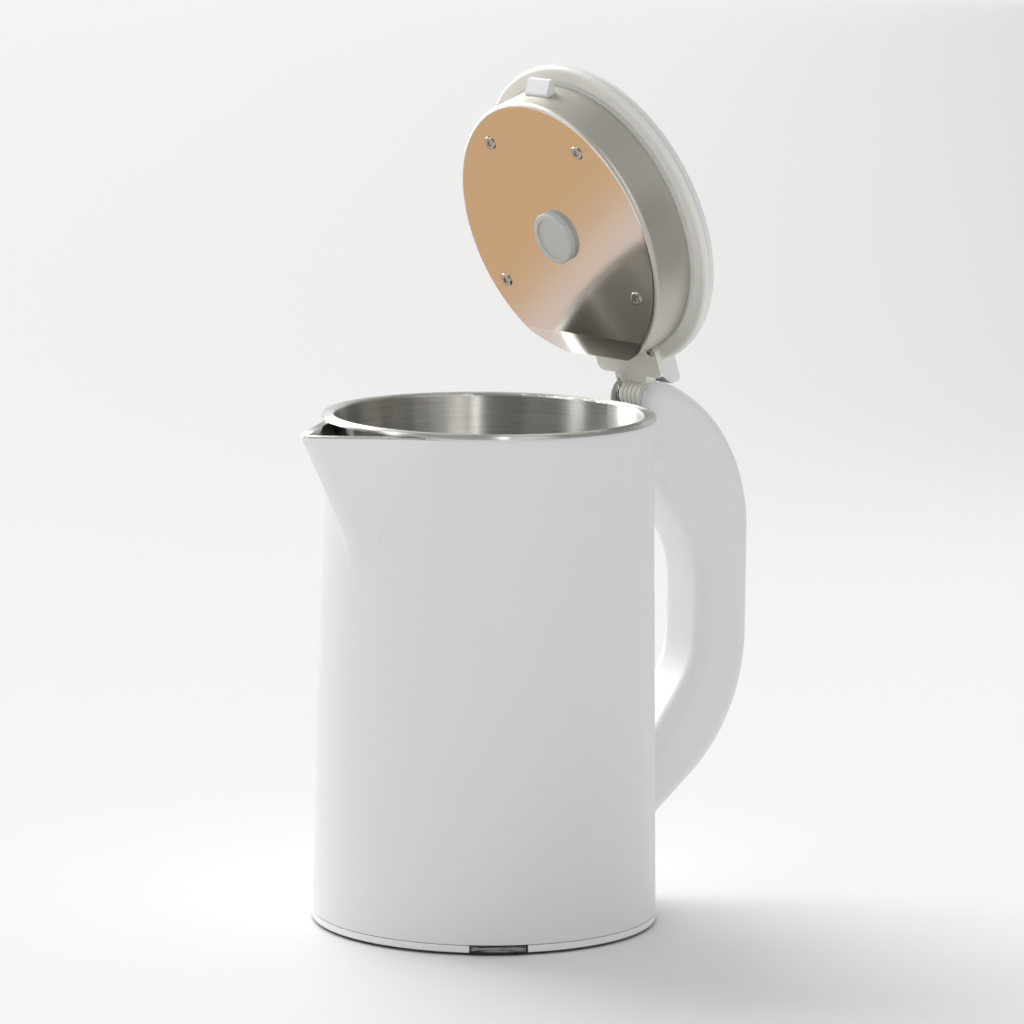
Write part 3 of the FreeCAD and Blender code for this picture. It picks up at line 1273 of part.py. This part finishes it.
make_shell()
make_liner()
make_spout_liner()
make_rim_gasket()
make_base_cover()
make_base_screws()
make_feet()
make_indicator()
make_heater()
make_control()
make_switch()
make_handle_half("handle_right", -1)
make_handle_half("handle_left", 1)
make_handle_screws()
make_steam_path()
make_wires()
make_hinge()
make_hinge_arm()
make_cup()
make_gasket()
make_frame()
make_cover()
make_lid_screws()
make_plug()
make_latch()
make_button()
doc.recompute()

# Tests and files

CUTS = ("PartDesign::Pocket", "PartDesign::Groove", "PartDesign::SubtractiveLoft")
for thing in doc.Objects:
    if "Invalid" in thing.State or "Error" in thing.State:
        raise RuntimeError(f"{thing.Name} of {thing.Label}: {thing.State}")
    if thing.TypeId in CUTS and thing.Shape.Volume >= thing.BaseFeature.Shape.Volume:
        raise RuntimeError(f"{thing.Name} takes nothing away")
os.makedirs("parts", exist_ok=True)
for piece in finished:
    if piece.Shape.isNull() or not piece.Shape.isValid():
        raise RuntimeError(f"{piece.Label} has no sound shape")
    piece.Shape.exportStep(f"parts/{piece.Label}.step")
    print(piece.Label, len(piece.Shape.Solids), round(piece.Shape.Volume))
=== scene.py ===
import json
import math

import bmesh
import bpy
import numpy as np
from mathutils import Matrix, Vector


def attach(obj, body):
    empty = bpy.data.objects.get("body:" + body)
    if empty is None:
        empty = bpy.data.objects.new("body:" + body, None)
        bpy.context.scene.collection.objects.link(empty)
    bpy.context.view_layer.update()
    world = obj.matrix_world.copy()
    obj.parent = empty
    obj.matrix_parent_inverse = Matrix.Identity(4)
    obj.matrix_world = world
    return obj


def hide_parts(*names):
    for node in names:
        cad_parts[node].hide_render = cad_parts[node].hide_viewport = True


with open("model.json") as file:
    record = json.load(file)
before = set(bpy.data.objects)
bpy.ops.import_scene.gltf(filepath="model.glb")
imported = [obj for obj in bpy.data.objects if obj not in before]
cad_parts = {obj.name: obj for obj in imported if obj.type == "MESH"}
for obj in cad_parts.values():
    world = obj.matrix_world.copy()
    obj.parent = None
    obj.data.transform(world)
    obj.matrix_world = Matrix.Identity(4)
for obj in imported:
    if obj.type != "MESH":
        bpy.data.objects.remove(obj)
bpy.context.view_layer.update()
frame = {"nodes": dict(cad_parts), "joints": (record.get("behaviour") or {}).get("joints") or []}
nodes = frame["nodes"]
scene = bpy.context.scene
scene.view_settings.view_transform = "Standard"
print("frame loaded", len(nodes))


# Colours are written as sRGB hex and turned into linear light here
def linear(code):
    channels = [int(code[k:k + 2], 16) / 255 for k in (1, 3, 5)]
    curve = [c / 12.92 if c <= 0.04045 else ((c + 0.055) / 1.055) ** 2.4 for c in channels]
    return (*curve, 1.0)


black, white = linear("#000000"), linear("#FFFFFF")


def addNode(tree, kind, values=None, links=None, **settings):
    node = tree.nodes.new(kind)
    for key, value in settings.items():
        setattr(node, key, value)
    for key, value in (values or {}).items():
        node.inputs[key].default_value = value
    for key, socket in (links or {}).items():
        tree.links.new(socket, node.inputs[key])
    return node


def shaderOf(material):
    return material.node_tree.nodes["Principled BSDF"]


def newMaterial(name, values):
    material = bpy.data.materials.new(name)
    material.use_nodes = True
    for key, value in values.items():
        shaderOf(material).inputs[key].default_value = value
    return material


# Camera at the photograph's angle: it looks from the spout side and from a little above; metres and degrees
view = {"azimuth": -39.0, "elevation": 10.2, "roll": 0.62, "distance": 2.376, "middle": (0.0, 0.0, 0.1075),
        "right": 0.0101, "up": 0.0651, "lens": 198.9, "sensor": 36.0, "farthest": 100.0}


# Right and up of a camera that looks against the given direction
def acrossView(back):
    right = Vector((0, 0, 1)).cross(back).normalized()
    return right, back.cross(right)


def makeCamera():
    azimuth = math.radians(view["azimuth"])
    elevation = math.radians(view["elevation"])
    back = Vector((math.sin(azimuth) * math.cos(elevation), -math.cos(azimuth) * math.cos(elevation),
                   math.sin(elevation)))
    middle = Vector(view["middle"])
    place = middle + back * view["distance"]
    right, up = acrossView(back)
    aim = (place - (middle + right * view["right"] + up * view["up"])).normalized()
    right, up = acrossView(aim)
    turn = Matrix((right, up, aim)).transposed() @ Matrix.Rotation(math.radians(view["roll"]), 3, "Z")
    data = bpy.data.cameras.new("camera")
    data.lens = view["lens"]
    data.sensor_width = view["sensor"]
    data.clip_end = view["farthest"]
    camera = bpy.data.objects.new("camera", data)
    camera.matrix_world = Matrix.Translation(place) @ turn.to_4x4()
    scene.collection.objects.link(camera)
    scene.camera = camera


# Studio: a pale floor that runs out of the picture, an even room that is dimmer in reflections, one large
# soft lamp from behind on the left and a black flag behind on the right that shades the floor
studio = {"floor": "#FAFAF9", "floorSize": 40.0, "room": 0.545, "roomMirrored": 0.27,
          "lamp": 2.35, "lampSpread": 58.0, "lampFrom": (0.11, 0.80, 0.54),
          "flag": "#0A0A0A", "flagCorner": (1.25, 0.55, 0.0), "flagWide": (3.62, 3.87, 0.0),
          "flagTall": (0.0, 0.0, 0.7)}

# Glowing cards that only reflections meet; each is a corner and two sides in metres. The warm board turns
# from its near colour to its own between two distances along Y
cards = {"warmBoard": {"colour": "#D2AC7F", "near": "#E0D2CD", "fade": (0.395, 0.460), "strength": 1.08,
                       "corner": (-0.62, 0.30, 0.002), "wide": (0.78, 0.0, 0.0), "tall": (0.0, 0.67, 0.0)},
         "backWall": {"colour": "#FFFFFF", "strength": 0.92, "corner": (-1.2, 6.0, 0.0),
                      "wide": (6.5, -5.2, 0.0), "tall": (0.0, 0.0, 4.0)},
         "ceiling": {"colour": "#FFFFFF", "strength": 0.45, "corner": (-4.5, -4.5, 2.6),
                     "wide": (9.0, 0.0, 0.0), "tall": (0.0, 9.0, 0.0)},
         "greyBoard": {"colour": "#FFFFFF", "strength": 0.3, "corner": (-0.48, -1.54, 0.002),
                       "wide": (1.87, -1.51, 0.0), "tall": (1.89, 2.33, 0.0)},
         "windowStrip": {"colour": "#FFFFFF", "strength": 6.5, "corner": (-1.04, -1.71, 0.4),
                         "wide": (0.15, -0.08, 0.0), "tall": (0.0, 0.0, 2.6)},
         "windowSide": {"colour": "#FFFFFF", "strength": 1.3, "corner": (-0.68, -1.88, 0.4),
                        "wide": (0.98, -0.37, 0.0), "tall": (0.0, 0.0, 2.6)},
         "lampCard": {"colour": "#FFFFFF", "strength": 11.0, "corner": (-0.86, 2.02, 0.4),
                      "wide": (1.20, 0.15, 0.0), "tall": (0.0, 0.0, 2.4)},
         "sideStrip": {"colour": "#FFFFFF", "strength": 3.5, "corner": (-1.95, 0.5, 0.3),
                       "wide": (0.16, 0.45, 0.0), "tall": (0.0, 0.0, 2.4)}}


def flatSheet(name, corner, wide, tall, material):
    corner, wide, tall = Vector(corner), Vector(wide), Vector(tall)
    mesh = bpy.data.meshes.new(name)
    mesh.from_pydata([corner, corner + wide, corner + wide + tall, corner + tall], [], [(0, 1, 2, 3)])
    mesh.materials.append(material)
    sheet = bpy.data.objects.new(name, mesh)
    scene.collection.objects.link(sheet)
    return sheet


# Background paper: dull, with no sheen of its own
def makeFloor():
    size = studio["floorSize"]
    paper = newMaterial("seamless background paper", {"Base Color": linear(studio["floor"]), "Roughness": 0.9,
                                                      "Specular IOR Level": 0.0})
    flatSheet("floor", (-size / 2, -size / 2, 0), (size, 0, 0), (0, size, 0), paper)


def fadeCard(glow, card):
    tree = glow.node_tree
    start, end = card["fade"]
    place = addNode(tree, "ShaderNodeTexCoord")
    parts = addNode(tree, "ShaderNodeSeparateXYZ", links={0: place.outputs["Object"]})
    share = addNode(tree, "ShaderNodeMapRange", {"From Min": start, "From Max": end},
                    {"Value": parts.outputs["Y"]}, interpolation_type="SMOOTHSTEP")
    blend = addNode(tree, "ShaderNodeMix", {"A": linear(card["near"]), "B": linear(card["colour"])},
                    {"Factor": share.outputs["Result"]}, data_type="RGBA")
    tree.links.new(blend.outputs["Result"], shaderOf(glow).inputs["Emission Color"])


def makeCards():
    for name, card in cards.items():
        glow = newMaterial("card " + name, {"Base Color": black, "Emission Color": linear(card["colour"]),
                                            "Emission Strength": card["strength"], "Roughness": 1.0})
        if "fade" in card:
            fadeCard(glow, card)
        sheet = flatSheet(name, card["corner"], card["wide"], card["tall"], glow)
        sheet.visible_camera = False
        sheet.visible_diffuse = False
        sheet.visible_shadow = False


# Black cloth: it takes light from the floor and shows in neither picture nor reflections
def makeFlag():
    cloth = newMaterial("black cloth", {"Base Color": linear(studio["flag"]), "Roughness": 1.0})
    flag = flatSheet("flag", studio["flagCorner"], studio["flagWide"], studio["flagTall"], cloth)
    flag.visible_camera = False
    flag.visible_glossy = False


def makeRoom():
    world = bpy.data.worlds.new("room")
    world.use_nodes = True
    tree = world.node_tree
    direct = tree.nodes["Background"]
    direct.inputs["Color"].default_value = white
    direct.inputs["Strength"].default_value = studio["room"]
    mirrored = addNode(tree, "ShaderNodeBackground", {"Color": white, "Strength": studio["roomMirrored"]})
    path = addNode(tree, "ShaderNodeLightPath")
    both = addNode(tree, "ShaderNodeMixShader", links={0: path.outputs["Is Glossy Ray"], 1: direct.outputs[0],
                                                       2: mirrored.outputs[0]})
    tree.links.new(both.outputs[0], tree.nodes["World Output"].inputs["Surface"])
    scene.world = world


def makeLamp():
    data = bpy.data.lights.new("softLamp", "SUN")
    data.energy = studio["lamp"]
    data.angle = math.radians(studio["lampSpread"])
    lamp = bpy.data.objects.new("softLamp", data)
    lamp.rotation_mode = "QUATERNION"
    lamp.rotation_quaternion = Vector(studio["lampFrom"]).to_track_quat("Z", "Y")
    scene.collection.objects.link(lamp)


makeCamera()
makeFloor()
makeCards()
makeFlag()
makeRoom()
makeLamp()
print("studio ready")


# Patterns are given as marks in 10 mm and scaled to marks in a metre
tenMmInMetre = 100.0
reliefDepth = 0.0001  # metres


# The grain shifts the roughness a little to both sides and stands up as a faint relief
def grainFinish(material, grain, roughness, spread, relief):
    tree = material.node_tree
    varied = addNode(tree, "ShaderNodeMapRange", {"To Min": roughness - spread, "To Max": roughness + spread},
                     {"Value": grain.outputs["Fac"]})
    bump = addNode(tree, "ShaderNodeBump", {"Strength": relief, "Distance": reliefDepth},
                   {"Height": grain.outputs["Fac"]})
    tree.links.new(varied.outputs["Result"], shaderOf(material).inputs["Roughness"])
    tree.links.new(bump.outputs["Normal"], shaderOf(material).inputs["Normal"])


# Noise drawn out level: few marks in 10 mm along the surface and many up and down
def levelMarks(tree, marks):
    along, upright = marks["along"] * tenMmInMetre, marks["upright"] * tenMmInMetre
    place = addNode(tree, "ShaderNodeTexCoord")
    drawn = addNode(tree, "ShaderNodeMapping", {"Scale": (along, along, upright)},
                    {"Vector": place.outputs["Object"]})
    return addNode(tree, "ShaderNodeTexNoise", {"Scale": 1.0, "Detail": marks["detail"]},
                   {"Vector": drawn.outputs["Vector"]})


# Injection moulded polypropylene: a fine satin grain softens its highlights. The grain of about 0.6 mm is
# drawn about twice as coarse as it is
moulding = {"grains": 16.0, "detail": 2.0, "spread": 0.03, "relief": 0.05, "ior": 1.49}


def moulded(name, colour, roughness):
    material = newMaterial(name, {"Base Color": linear(colour), "IOR": moulding["ior"]})
    tree = material.node_tree
    place = addNode(tree, "ShaderNodeTexCoord")
    grain = addNode(tree, "ShaderNodeTexNoise", {"Scale": moulding["grains"] * tenMmInMetre,
                                                 "Detail": moulding["detail"]},
                    {"Vector": place.outputs["Object"]})
    grainFinish(material, grain, roughness, moulding["spread"], moulding["relief"])
    return material


whitePlastic = moulded("white polypropylene, moulded satin", "#EFF0F0", 0.42)
lidPlastic = moulded("milky polypropylene, moulded", "#F0EEE8", 0.45)  # a little warmer than the wall
# Painted light: the base ring is the wall's white plastic painted lighter, to offset the shade near the table
paintedLightBaseWhite = moulded("bright white polypropylene, moulded satin", "#FAFAFA", 0.40)  # lighter than the wall

# Stainless sheet brushed round the axis of the pot: fine lines lie at one height and light is drawn out up
# and down. Lines 0.4 mm and darker scratches 0.9 mm apart are drawn coarser than they are
brushing = {"colour": "#D2D0CB", "roughness": 0.33, "spread": 0.05, "relief": 0.12, "stretch": 1.0,
            "turn": 0.25,
            "lines": {"along": 0.25, "upright": 25.0, "detail": 3.0},
            "scratches": {"along": 0.45, "upright": 11.0, "detail": 2.0},
            "scratchRange": (0.3, 0.7), "scratchTint": 0.82}


def brushed():
    material = newMaterial("stainless steel, brushed round",
                           {"Metallic": 1.0, "Anisotropic": brushing["stretch"],
                            "Anisotropic Rotation": brushing["turn"]})
    tree = material.node_tree
    lines = levelMarks(tree, brushing["lines"])
    grainFinish(material, lines, brushing["roughness"], brushing["spread"], brushing["relief"])
    scratches = levelMarks(tree, brushing["scratches"])
    low, high = brushing["scratchRange"]
    share = addNode(tree, "ShaderNodeMapRange", {"From Min": low, "From Max": high,
                                                 "To Min": brushing["scratchTint"], "To Max": 1.0},
                    {"Value": scratches.outputs["Fac"]})
    tint = addNode(tree, "ShaderNodeMix", {"A": black, "B": linear(brushing["colour"])},
                   {"Factor": share.outputs["Result"]}, data_type="RGBA")
    aroundPot = addNode(tree, "ShaderNodeTangent", direction_type="RADIAL", axis="Z")
    tree.links.new(tint.outputs["Result"], shaderOf(material).inputs["Base Color"])
    tree.links.new(aroundPot.outputs["Tangent"], shaderOf(material).inputs["Tangent"])
    return material


potSteel = brushed()

# Smoked acrylic, polished, over a streaked foil: dark with grey streaks some 6 mm long and 0.4 mm tall
foil = {"dark": "#2A2A2B", "pale": "#A6A7A6", "streakRange": (0.36, 0.62),
        "streaks": {"along": 1.6, "upright": 24.0, "detail": 1.0}}


def streaked():
    material = newMaterial("smoked acrylic over foil", {"Roughness": 0.15, "IOR": 1.49})
    tree = material.node_tree
    streaks = levelMarks(tree, foil["streaks"])
    low, high = foil["streakRange"]
    share = addNode(tree, "ShaderNodeMapRange", {"From Min": low, "From Max": high},
                    {"Value": streaks.outputs["Fac"]})
    shade = addNode(tree, "ShaderNodeMix", {"A": linear(foil["dark"]), "B": linear(foil["pale"])},
                    {"Factor": share.outputs["Result"]}, data_type="RGBA")
    tree.links.new(shade.outputs["Result"], shaderOf(material).inputs["Base Color"])
    return material


windowPlastic = streaked()

# Bright rolled stainless sheet of the lid's underside, polished: it mirrors with little blur
faceSteel = newMaterial("stainless steel, bright rolled",
                        {"Base Color": linear("#DCD8D2"), "Metallic": 1.0, "Roughness": 0.11})
# The same sheet drawn into the cup's wall, where the tool left it satin: only broad light and dark shows
wallSteel = newMaterial("stainless steel, drawn satin",
                        {"Base Color": linear("#C2BEB6"), "Metallic": 1.0, "Roughness": 0.44})
# Machined stainless of screws, pins, springs and terminals: small bright glints
screwSteel = newMaterial("stainless steel, machined",
                         {"Base Color": linear("#B9B7B4"), "Metallic": 1.0, "Roughness": 0.26})
# Moulded silicone of the seals: pale with a soft sheen
silicone = newMaterial("pale silicone, moulded",
                       {"Base Color": linear("#D3D4D2"), "Roughness": 0.5, "IOR": 1.41})
# Moulded rubber of the feet: grey and almost without shine
footRubber = newMaterial("grey rubber, moulded",
                         {"Base Color": linear("#55565A"), "Roughness": 0.8, "IOR": 1.52})
# Black moulded plastic: matt, with a dim broad highlight
darkPlastic = newMaterial("black plastic, moulded matt",
                          {"Base Color": linear("#202124"), "Roughness": 0.5, "IOR": 1.5})
# Underside of the base: painted shade, a dark grey so that the gap over the table shows as a dark contact
# shadow line
paintedShadeUnderside = newMaterial("painted shade, dark grey under the base",
                           {"Base Color": linear("#2E2E30"), "Roughness": 0.6, "IOR": 1.49})
# Lacquered board of the indicator: green with a soft shine
boardGreen = newMaterial("glass fibre board, lacquered", {"Base Color": linear("#2A6A42"), "Roughness": 0.5})
# Cast aluminium of the heater: grey metal with blurred reflections
castAluminium = newMaterial("aluminium, cast",
                            {"Base Color": linear("#C9CACC"), "Metallic": 1.0, "Roughness": 0.4})
# Rolled brass of contacts and bimetals: yellow and fairly bright
plainBrass = newMaterial("brass, rolled",
                         {"Base Color": linear("#CDAA5F"), "Metallic": 1.0, "Roughness": 0.3})
# Unglazed ceramic of the fuse: cream and chalky
fuseCeramic = newMaterial("ceramic, unglazed", {"Base Color": linear("#E5DCC4"), "Roughness": 0.8})
# Extruded silicone sleeve of the wires: dull red
wireSleeve = newMaterial("red silicone sleeve, extruded",
                         {"Base Color": linear("#8E2F26"), "Roughness": 0.55, "IOR": 1.41})

# Edges that bend by more than this many degrees stay sharp, on CAD nodes and on new pieces
sharpFrom = {"cad": 24.0, "made": 35.0}


def shadeSmooth(mesh, sharpAngle):
    mesh.polygons.foreach_set("use_smooth", np.ones(len(mesh.polygons), dtype=bool))
    mesh.set_sharp_from_angle(angle=math.radians(sharpAngle))


def paint(material, *names):
    for name in names:
        mesh = nodes[name].data
        mesh.materials.clear()
        mesh.materials.append(material)
        shadeSmooth(mesh, sharpFrom["cad"])


paint(whitePlastic, "outer_shell", "handle_left", "handle_right", "lid_cover", "release_button",
      "switch_lever", "latch_slide")
paint(paintedLightBaseWhite, "base_cover")
paint(lidPlastic, "lid_frame", "hinge_arm", "plug_nut")
paint(potSteel, "inner_liner", "spout_liner")
paint(wallSteel, "lid_cup")
paint(screwSteel, "lid_screws", "hinge_arm_screws", "base_screws", "handle_screws", "handle_mount_screws",
      "hinge_pin", "switch_pin", "torsion_spring", "latch_spring", "heater_terminals")
paint(silicone, "lid_gasket", "steam_plug", "rim_gasket", "steam_grommet", "steam_tube")
paint(footRubber, "rubber_feet")
paint(darkPlastic, "indicator_frame", "connector_socket", "control_unit", "steam_switch_housing")
paint(windowPlastic, "indicator_window")
paint(boardGreen, "indicator_board")
paint(castAluminium, "heater_plate", "heating_element")
paint(plainBrass, "control_studs", "cutout_bimetals", "steam_bimetal", "contact_rings")
paint(fuseCeramic, "thermal_fuse")
paint(wireSleeve, "live_wire", "neutral_wire", "lamp_wire")
print("materials ready")


# The lid's pieces are worked out shut and turned open about the hinge, by the whole range of its joint
lidHinge = next(joint for joint in frame["joints"] if joint["name"] == "lid_hinge")
lid = {"hinge": lidHinge["pos_m"], "open": -lidHinge["range_deg"][0]}


def openLid(points, turnOnly=False):
    points = np.asarray(points, dtype=float)
    cosine, sine = math.cos(math.radians(lid["open"])), math.sin(math.radians(lid["open"]))
    centre = np.zeros(3) if turnOnly else np.array(lid["hinge"])
    x, y, z = np.moveaxis(points - centre, -1, 0)
    return np.stack([x * cosine + z * sine, y, z * cosine - x * sine], axis=-1) + centre


# Second materials: the cup's flat face and its bevel are bright where the drawn wall is satin, and the base's
# underside gets painted shade. They go on the faces that look within about 26 degrees of a direction
splitLimit = 0.9  # cosine of that angle
splits = {"lid_cup": {"direction": openLid((0.0, 0.0, -1.0), turnOnly=True), "material": faceSteel},
          "base_cover": {"direction": np.array((0.0, 0.0, -1.0)), "material": paintedShadeUnderside}}


def splitFaces():
    for name, split in splits.items():
        mesh = nodes[name].data
        normals = np.empty(len(mesh.polygons) * 3)
        mesh.polygons.foreach_get("normal", normals)
        chosen = normals.reshape(-1, 3) @ split["direction"] > splitLimit
        mesh.materials.append(split["material"])
        mesh.polygons.foreach_set("material_index", chosen.astype(np.int32))
        print("faces split", name, int(chosen.sum()))


# Faces of a grid of points, rows by columns; a closed grid joins the last column to the first
def gridFaces(rows, columns, closed):
    index = np.arange(rows * columns).reshape(rows, columns)
    if closed:
        index = np.concatenate([index, index[:, :1]], axis=1)
    quads = np.stack([index[:-1, :-1], index[:-1, 1:], index[1:, 1:], index[1:, :-1]], axis=-1)
    return quads.reshape(-1, 4)


def addPiece(name, points, faces, material, body, replaced=()):
    mesh = bpy.data.meshes.new(name)
    mesh.from_pydata(points.tolist(), [], faces)
    work = bmesh.new()
    work.from_mesh(mesh)
    bmesh.ops.recalc_face_normals(work, faces=work.faces)
    work.to_mesh(mesh)
    work.free()
    shadeSmooth(mesh, sharpFrom["made"])
    mesh.materials.append(material)
    piece = bpy.data.objects.new(name, mesh)
    scene.collection.objects.link(piece)
    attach(piece, body)
    if replaced:
        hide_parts(*replaced)


# Screws with a six-lobed recess, in metres. Their heads look down when the lid is shut
screwTable = {
    "lidScrews": {"node": "lid_screws", "level": 0.1975, "circle": 0.049,
                  "turns": (144.6, -144.6, 60.6, -60.6),  # degrees round the lid's axis
                  "head": 0.0030, "rise": 0.0008, "shaft": 0.0015, "length": 0.013,
                  "recess": 0.0013, "wave": 0.00022, "depth": 0.0006},
    "armScrews": {"node": "hinge_arm_screws", "level": 0.2163, "spots": ((0.0592, 0.0174), (0.0592, -0.0174)),
                  "head": 0.0022, "rise": 0.0010, "shaft": 0.0012, "length": 0.0044,
                  "recess": 0.0010, "wave": 0.00016, "depth": 0.0007}}
# The recess's floor, the shaft's tip and the head's edge are shares of the recess, the shaft and the rise.
# The crown says how far the head's rounded edge goes in and down, in units of that edge
screwForm = {"ringPoints": 72, "lobes": 6, "floorMiddle": 0.4, "floorEdge": 0.95, "tip": 0.3, "edge": 0.25,
             "crown": ((3.0, 0.0), (1.0, 0.4), (0.0, 1.6)),
             "lipDrop": 0.00004, "lipWide": 0.00008}  # metres


def screwSpots(size):
    if "spots" in size:
        return np.array(size["spots"])
    turns = np.radians(size["turns"])
    return np.stack([size["circle"] * np.cos(turns), size["circle"] * np.sin(turns)], axis=-1)


# Rings of points about the screw's axis, from the recess over the head to the shaft's end: the radius of the
# recess is a middle radius plus a wave of six crests round the axis, the other rings are circles
def screwPoints(size, x, y):
    turn = np.linspace(0, 2 * np.pi, screwForm["ringPoints"], endpoint=False)
    star = size["recess"] + size["wave"] * np.cos(screwForm["lobes"] * turn)
    circle = np.ones_like(turn)
    head, shaft, top, length = size["head"], size["shaft"], size["rise"], size["length"]
    floor = top - size["depth"]
    edge = screwForm["edge"] * top
    rings = [(screwForm["floorMiddle"] * star, floor), (screwForm["floorEdge"] * star, floor),
             (star, top - screwForm["lipDrop"]), (star + screwForm["lipWide"], top)]
    rings += [((head - inward * edge) * circle, top - down * edge) for inward, down in screwForm["crown"]]
    rings += [(head * circle, 0.0), (shaft * circle, 0.0), (shaft * circle, shaft - length),
              (screwForm["tip"] * shaft * circle, -length)]
    points = np.stack([np.stack([x + r * np.cos(turn), y + r * np.sin(turn),
                                 np.full_like(turn, size["level"] - h)], axis=-1) for r, h in rings])
    return openLid(points)


def makeScrews():
    for name, size in screwTable.items():
        points, faces = [], []
        for x, y in screwSpots(size):
            grid = screwPoints(size, x, y)
            rows, columns = grid.shape[:2]
            start = len(points) * rows * columns
            ring = np.arange(start, start + columns)
            caps = [ring.tolist(), (ring[::-1] + (rows - 1) * columns).tolist()]
            faces += (gridFaces(rows, columns, True) + start).tolist() + caps
            points.append(grid.reshape(-1, 3))
        addPiece(name, np.concatenate(points), faces, screwSteel, "lid", (size["node"],))
    print("screws ready")


# Soft fillet between the spout and the pot, in metres and degrees
spout = {"lowRadius": 0.0725, "lowLevel": 0.0045,  # the wall's cone
         "highRadius": 0.0688, "highLevel": 0.214,
         "foot": 0.160, "footTip": 0.0725, "footHalf": 0.018,  # the V, from its foot to its mouth
         "mouth": 0.2122, "mouthTip": 0.1000, "mouthHalf": 0.04197, "root": 0.05002, "round": 0.006,
         "softFoot": 0.007, "softMouth": 0.004,  # width of the blend
         "sunk": 0.00004, "skin": 0.0006, "least": 0.000001,  # depths of both skins, least rise that is kept
         "start": 0.139, "rows": 180, "columns": 300, "spread": 62.0}  # grid, from below the foot up


def between(low, high, share):
    return low + (high - low) * share


def spoutShare(height):
    return (height - spout["foot"]) / (spout["mouth"] - spout["foot"])


# Radius of the V at an angle from its ridge: the straight line from the tip to the root on the sides, and the
# arc of the rounded tip within the angle where the arc touches that line
def spoutRadius(turn, height):
    share = spoutShare(height)
    tip = between(spout["footTip"], spout["mouthTip"], share)
    half = between(spout["footHalf"], spout["mouthHalf"], share)
    lean = np.arctan2(half, tip - spout["root"])
    side = np.abs(turn)
    line = tip / (np.cos(side) + np.sin(side) * (tip - spout["root"]) / half)
    centre = tip - spout["round"] / np.sin(lean)
    across = centre * np.sin(side)
    arc = centre * np.cos(side) + np.sqrt(np.maximum(spout["round"] ** 2 - across ** 2, 0))
    touch = np.arctan2(spout["round"] * np.cos(lean), tip - spout["round"] / np.tan(lean) * np.cos(lean))
    return np.where(side < touch, arc, line)


# Walls from the border of a sheet of quads to the same border of a second sheet, whose points follow the
# first's; an edge of the border is one that a single quad has
def borderWalls(quads, count):
    edges = np.concatenate([quads[:, [corner, (corner + 1) % 4]] for corner in range(4)])
    keys = edges.min(axis=1) * count + edges.max(axis=1)
    place, times = np.unique(keys, return_index=True, return_counts=True)[1:]
    start, end = edges[place[times == 1]].T
    return np.stack([end, start, start + count, end + count], axis=-1)


# At each height and angle the radius is the greater of the cone's and the V's, raised by the square of how
# near the two are; a second skin lies inside the wall, and only what is raised is kept
def makeSpoutFillet():
    levels = np.linspace(spout["start"], spout["mouth"], spout["rows"])
    turns = np.radians(np.linspace(-spout["spread"], spout["spread"], spout["columns"]))
    height, turn = np.meshgrid(levels, turns, indexing="ij")
    soft = between(spout["softFoot"], spout["softMouth"], np.clip(spoutShare(height), 0, 1))
    coneShare = (height - spout["lowLevel"]) / (spout["highLevel"] - spout["lowLevel"])
    cone = between(spout["lowRadius"], spout["highRadius"], coneShare)
    vee = spoutRadius(turn, height)
    wall = np.maximum(cone, vee)
    near = np.maximum(soft - np.abs(cone - vee), 0) / soft
    raised = near ** 2 * soft / 4
    skins = [np.stack([-r * np.cos(turn), r * np.sin(turn), height], axis=-1).reshape(-1, 3)
             for r in (wall + raised - spout["sunk"], wall - spout["skin"])]
    quads = gridFaces(*height.shape, False)
    kept = quads[(raised.reshape(-1)[quads] > spout["least"]).any(axis=1)]
    count = height.size
    faces = np.concatenate([kept, kept[:, ::-1] + count, borderWalls(kept, count)])
    used, faces = np.unique(faces, return_inverse=True)
    points = np.concatenate(skins)[used]
    addPiece("spoutFillet", points, faces.reshape(-1, 4).tolist(), whitePlastic, "body")
    print("spout fillet ready", len(points))


splitFaces()
makeScrews()
makeSpoutFillet()
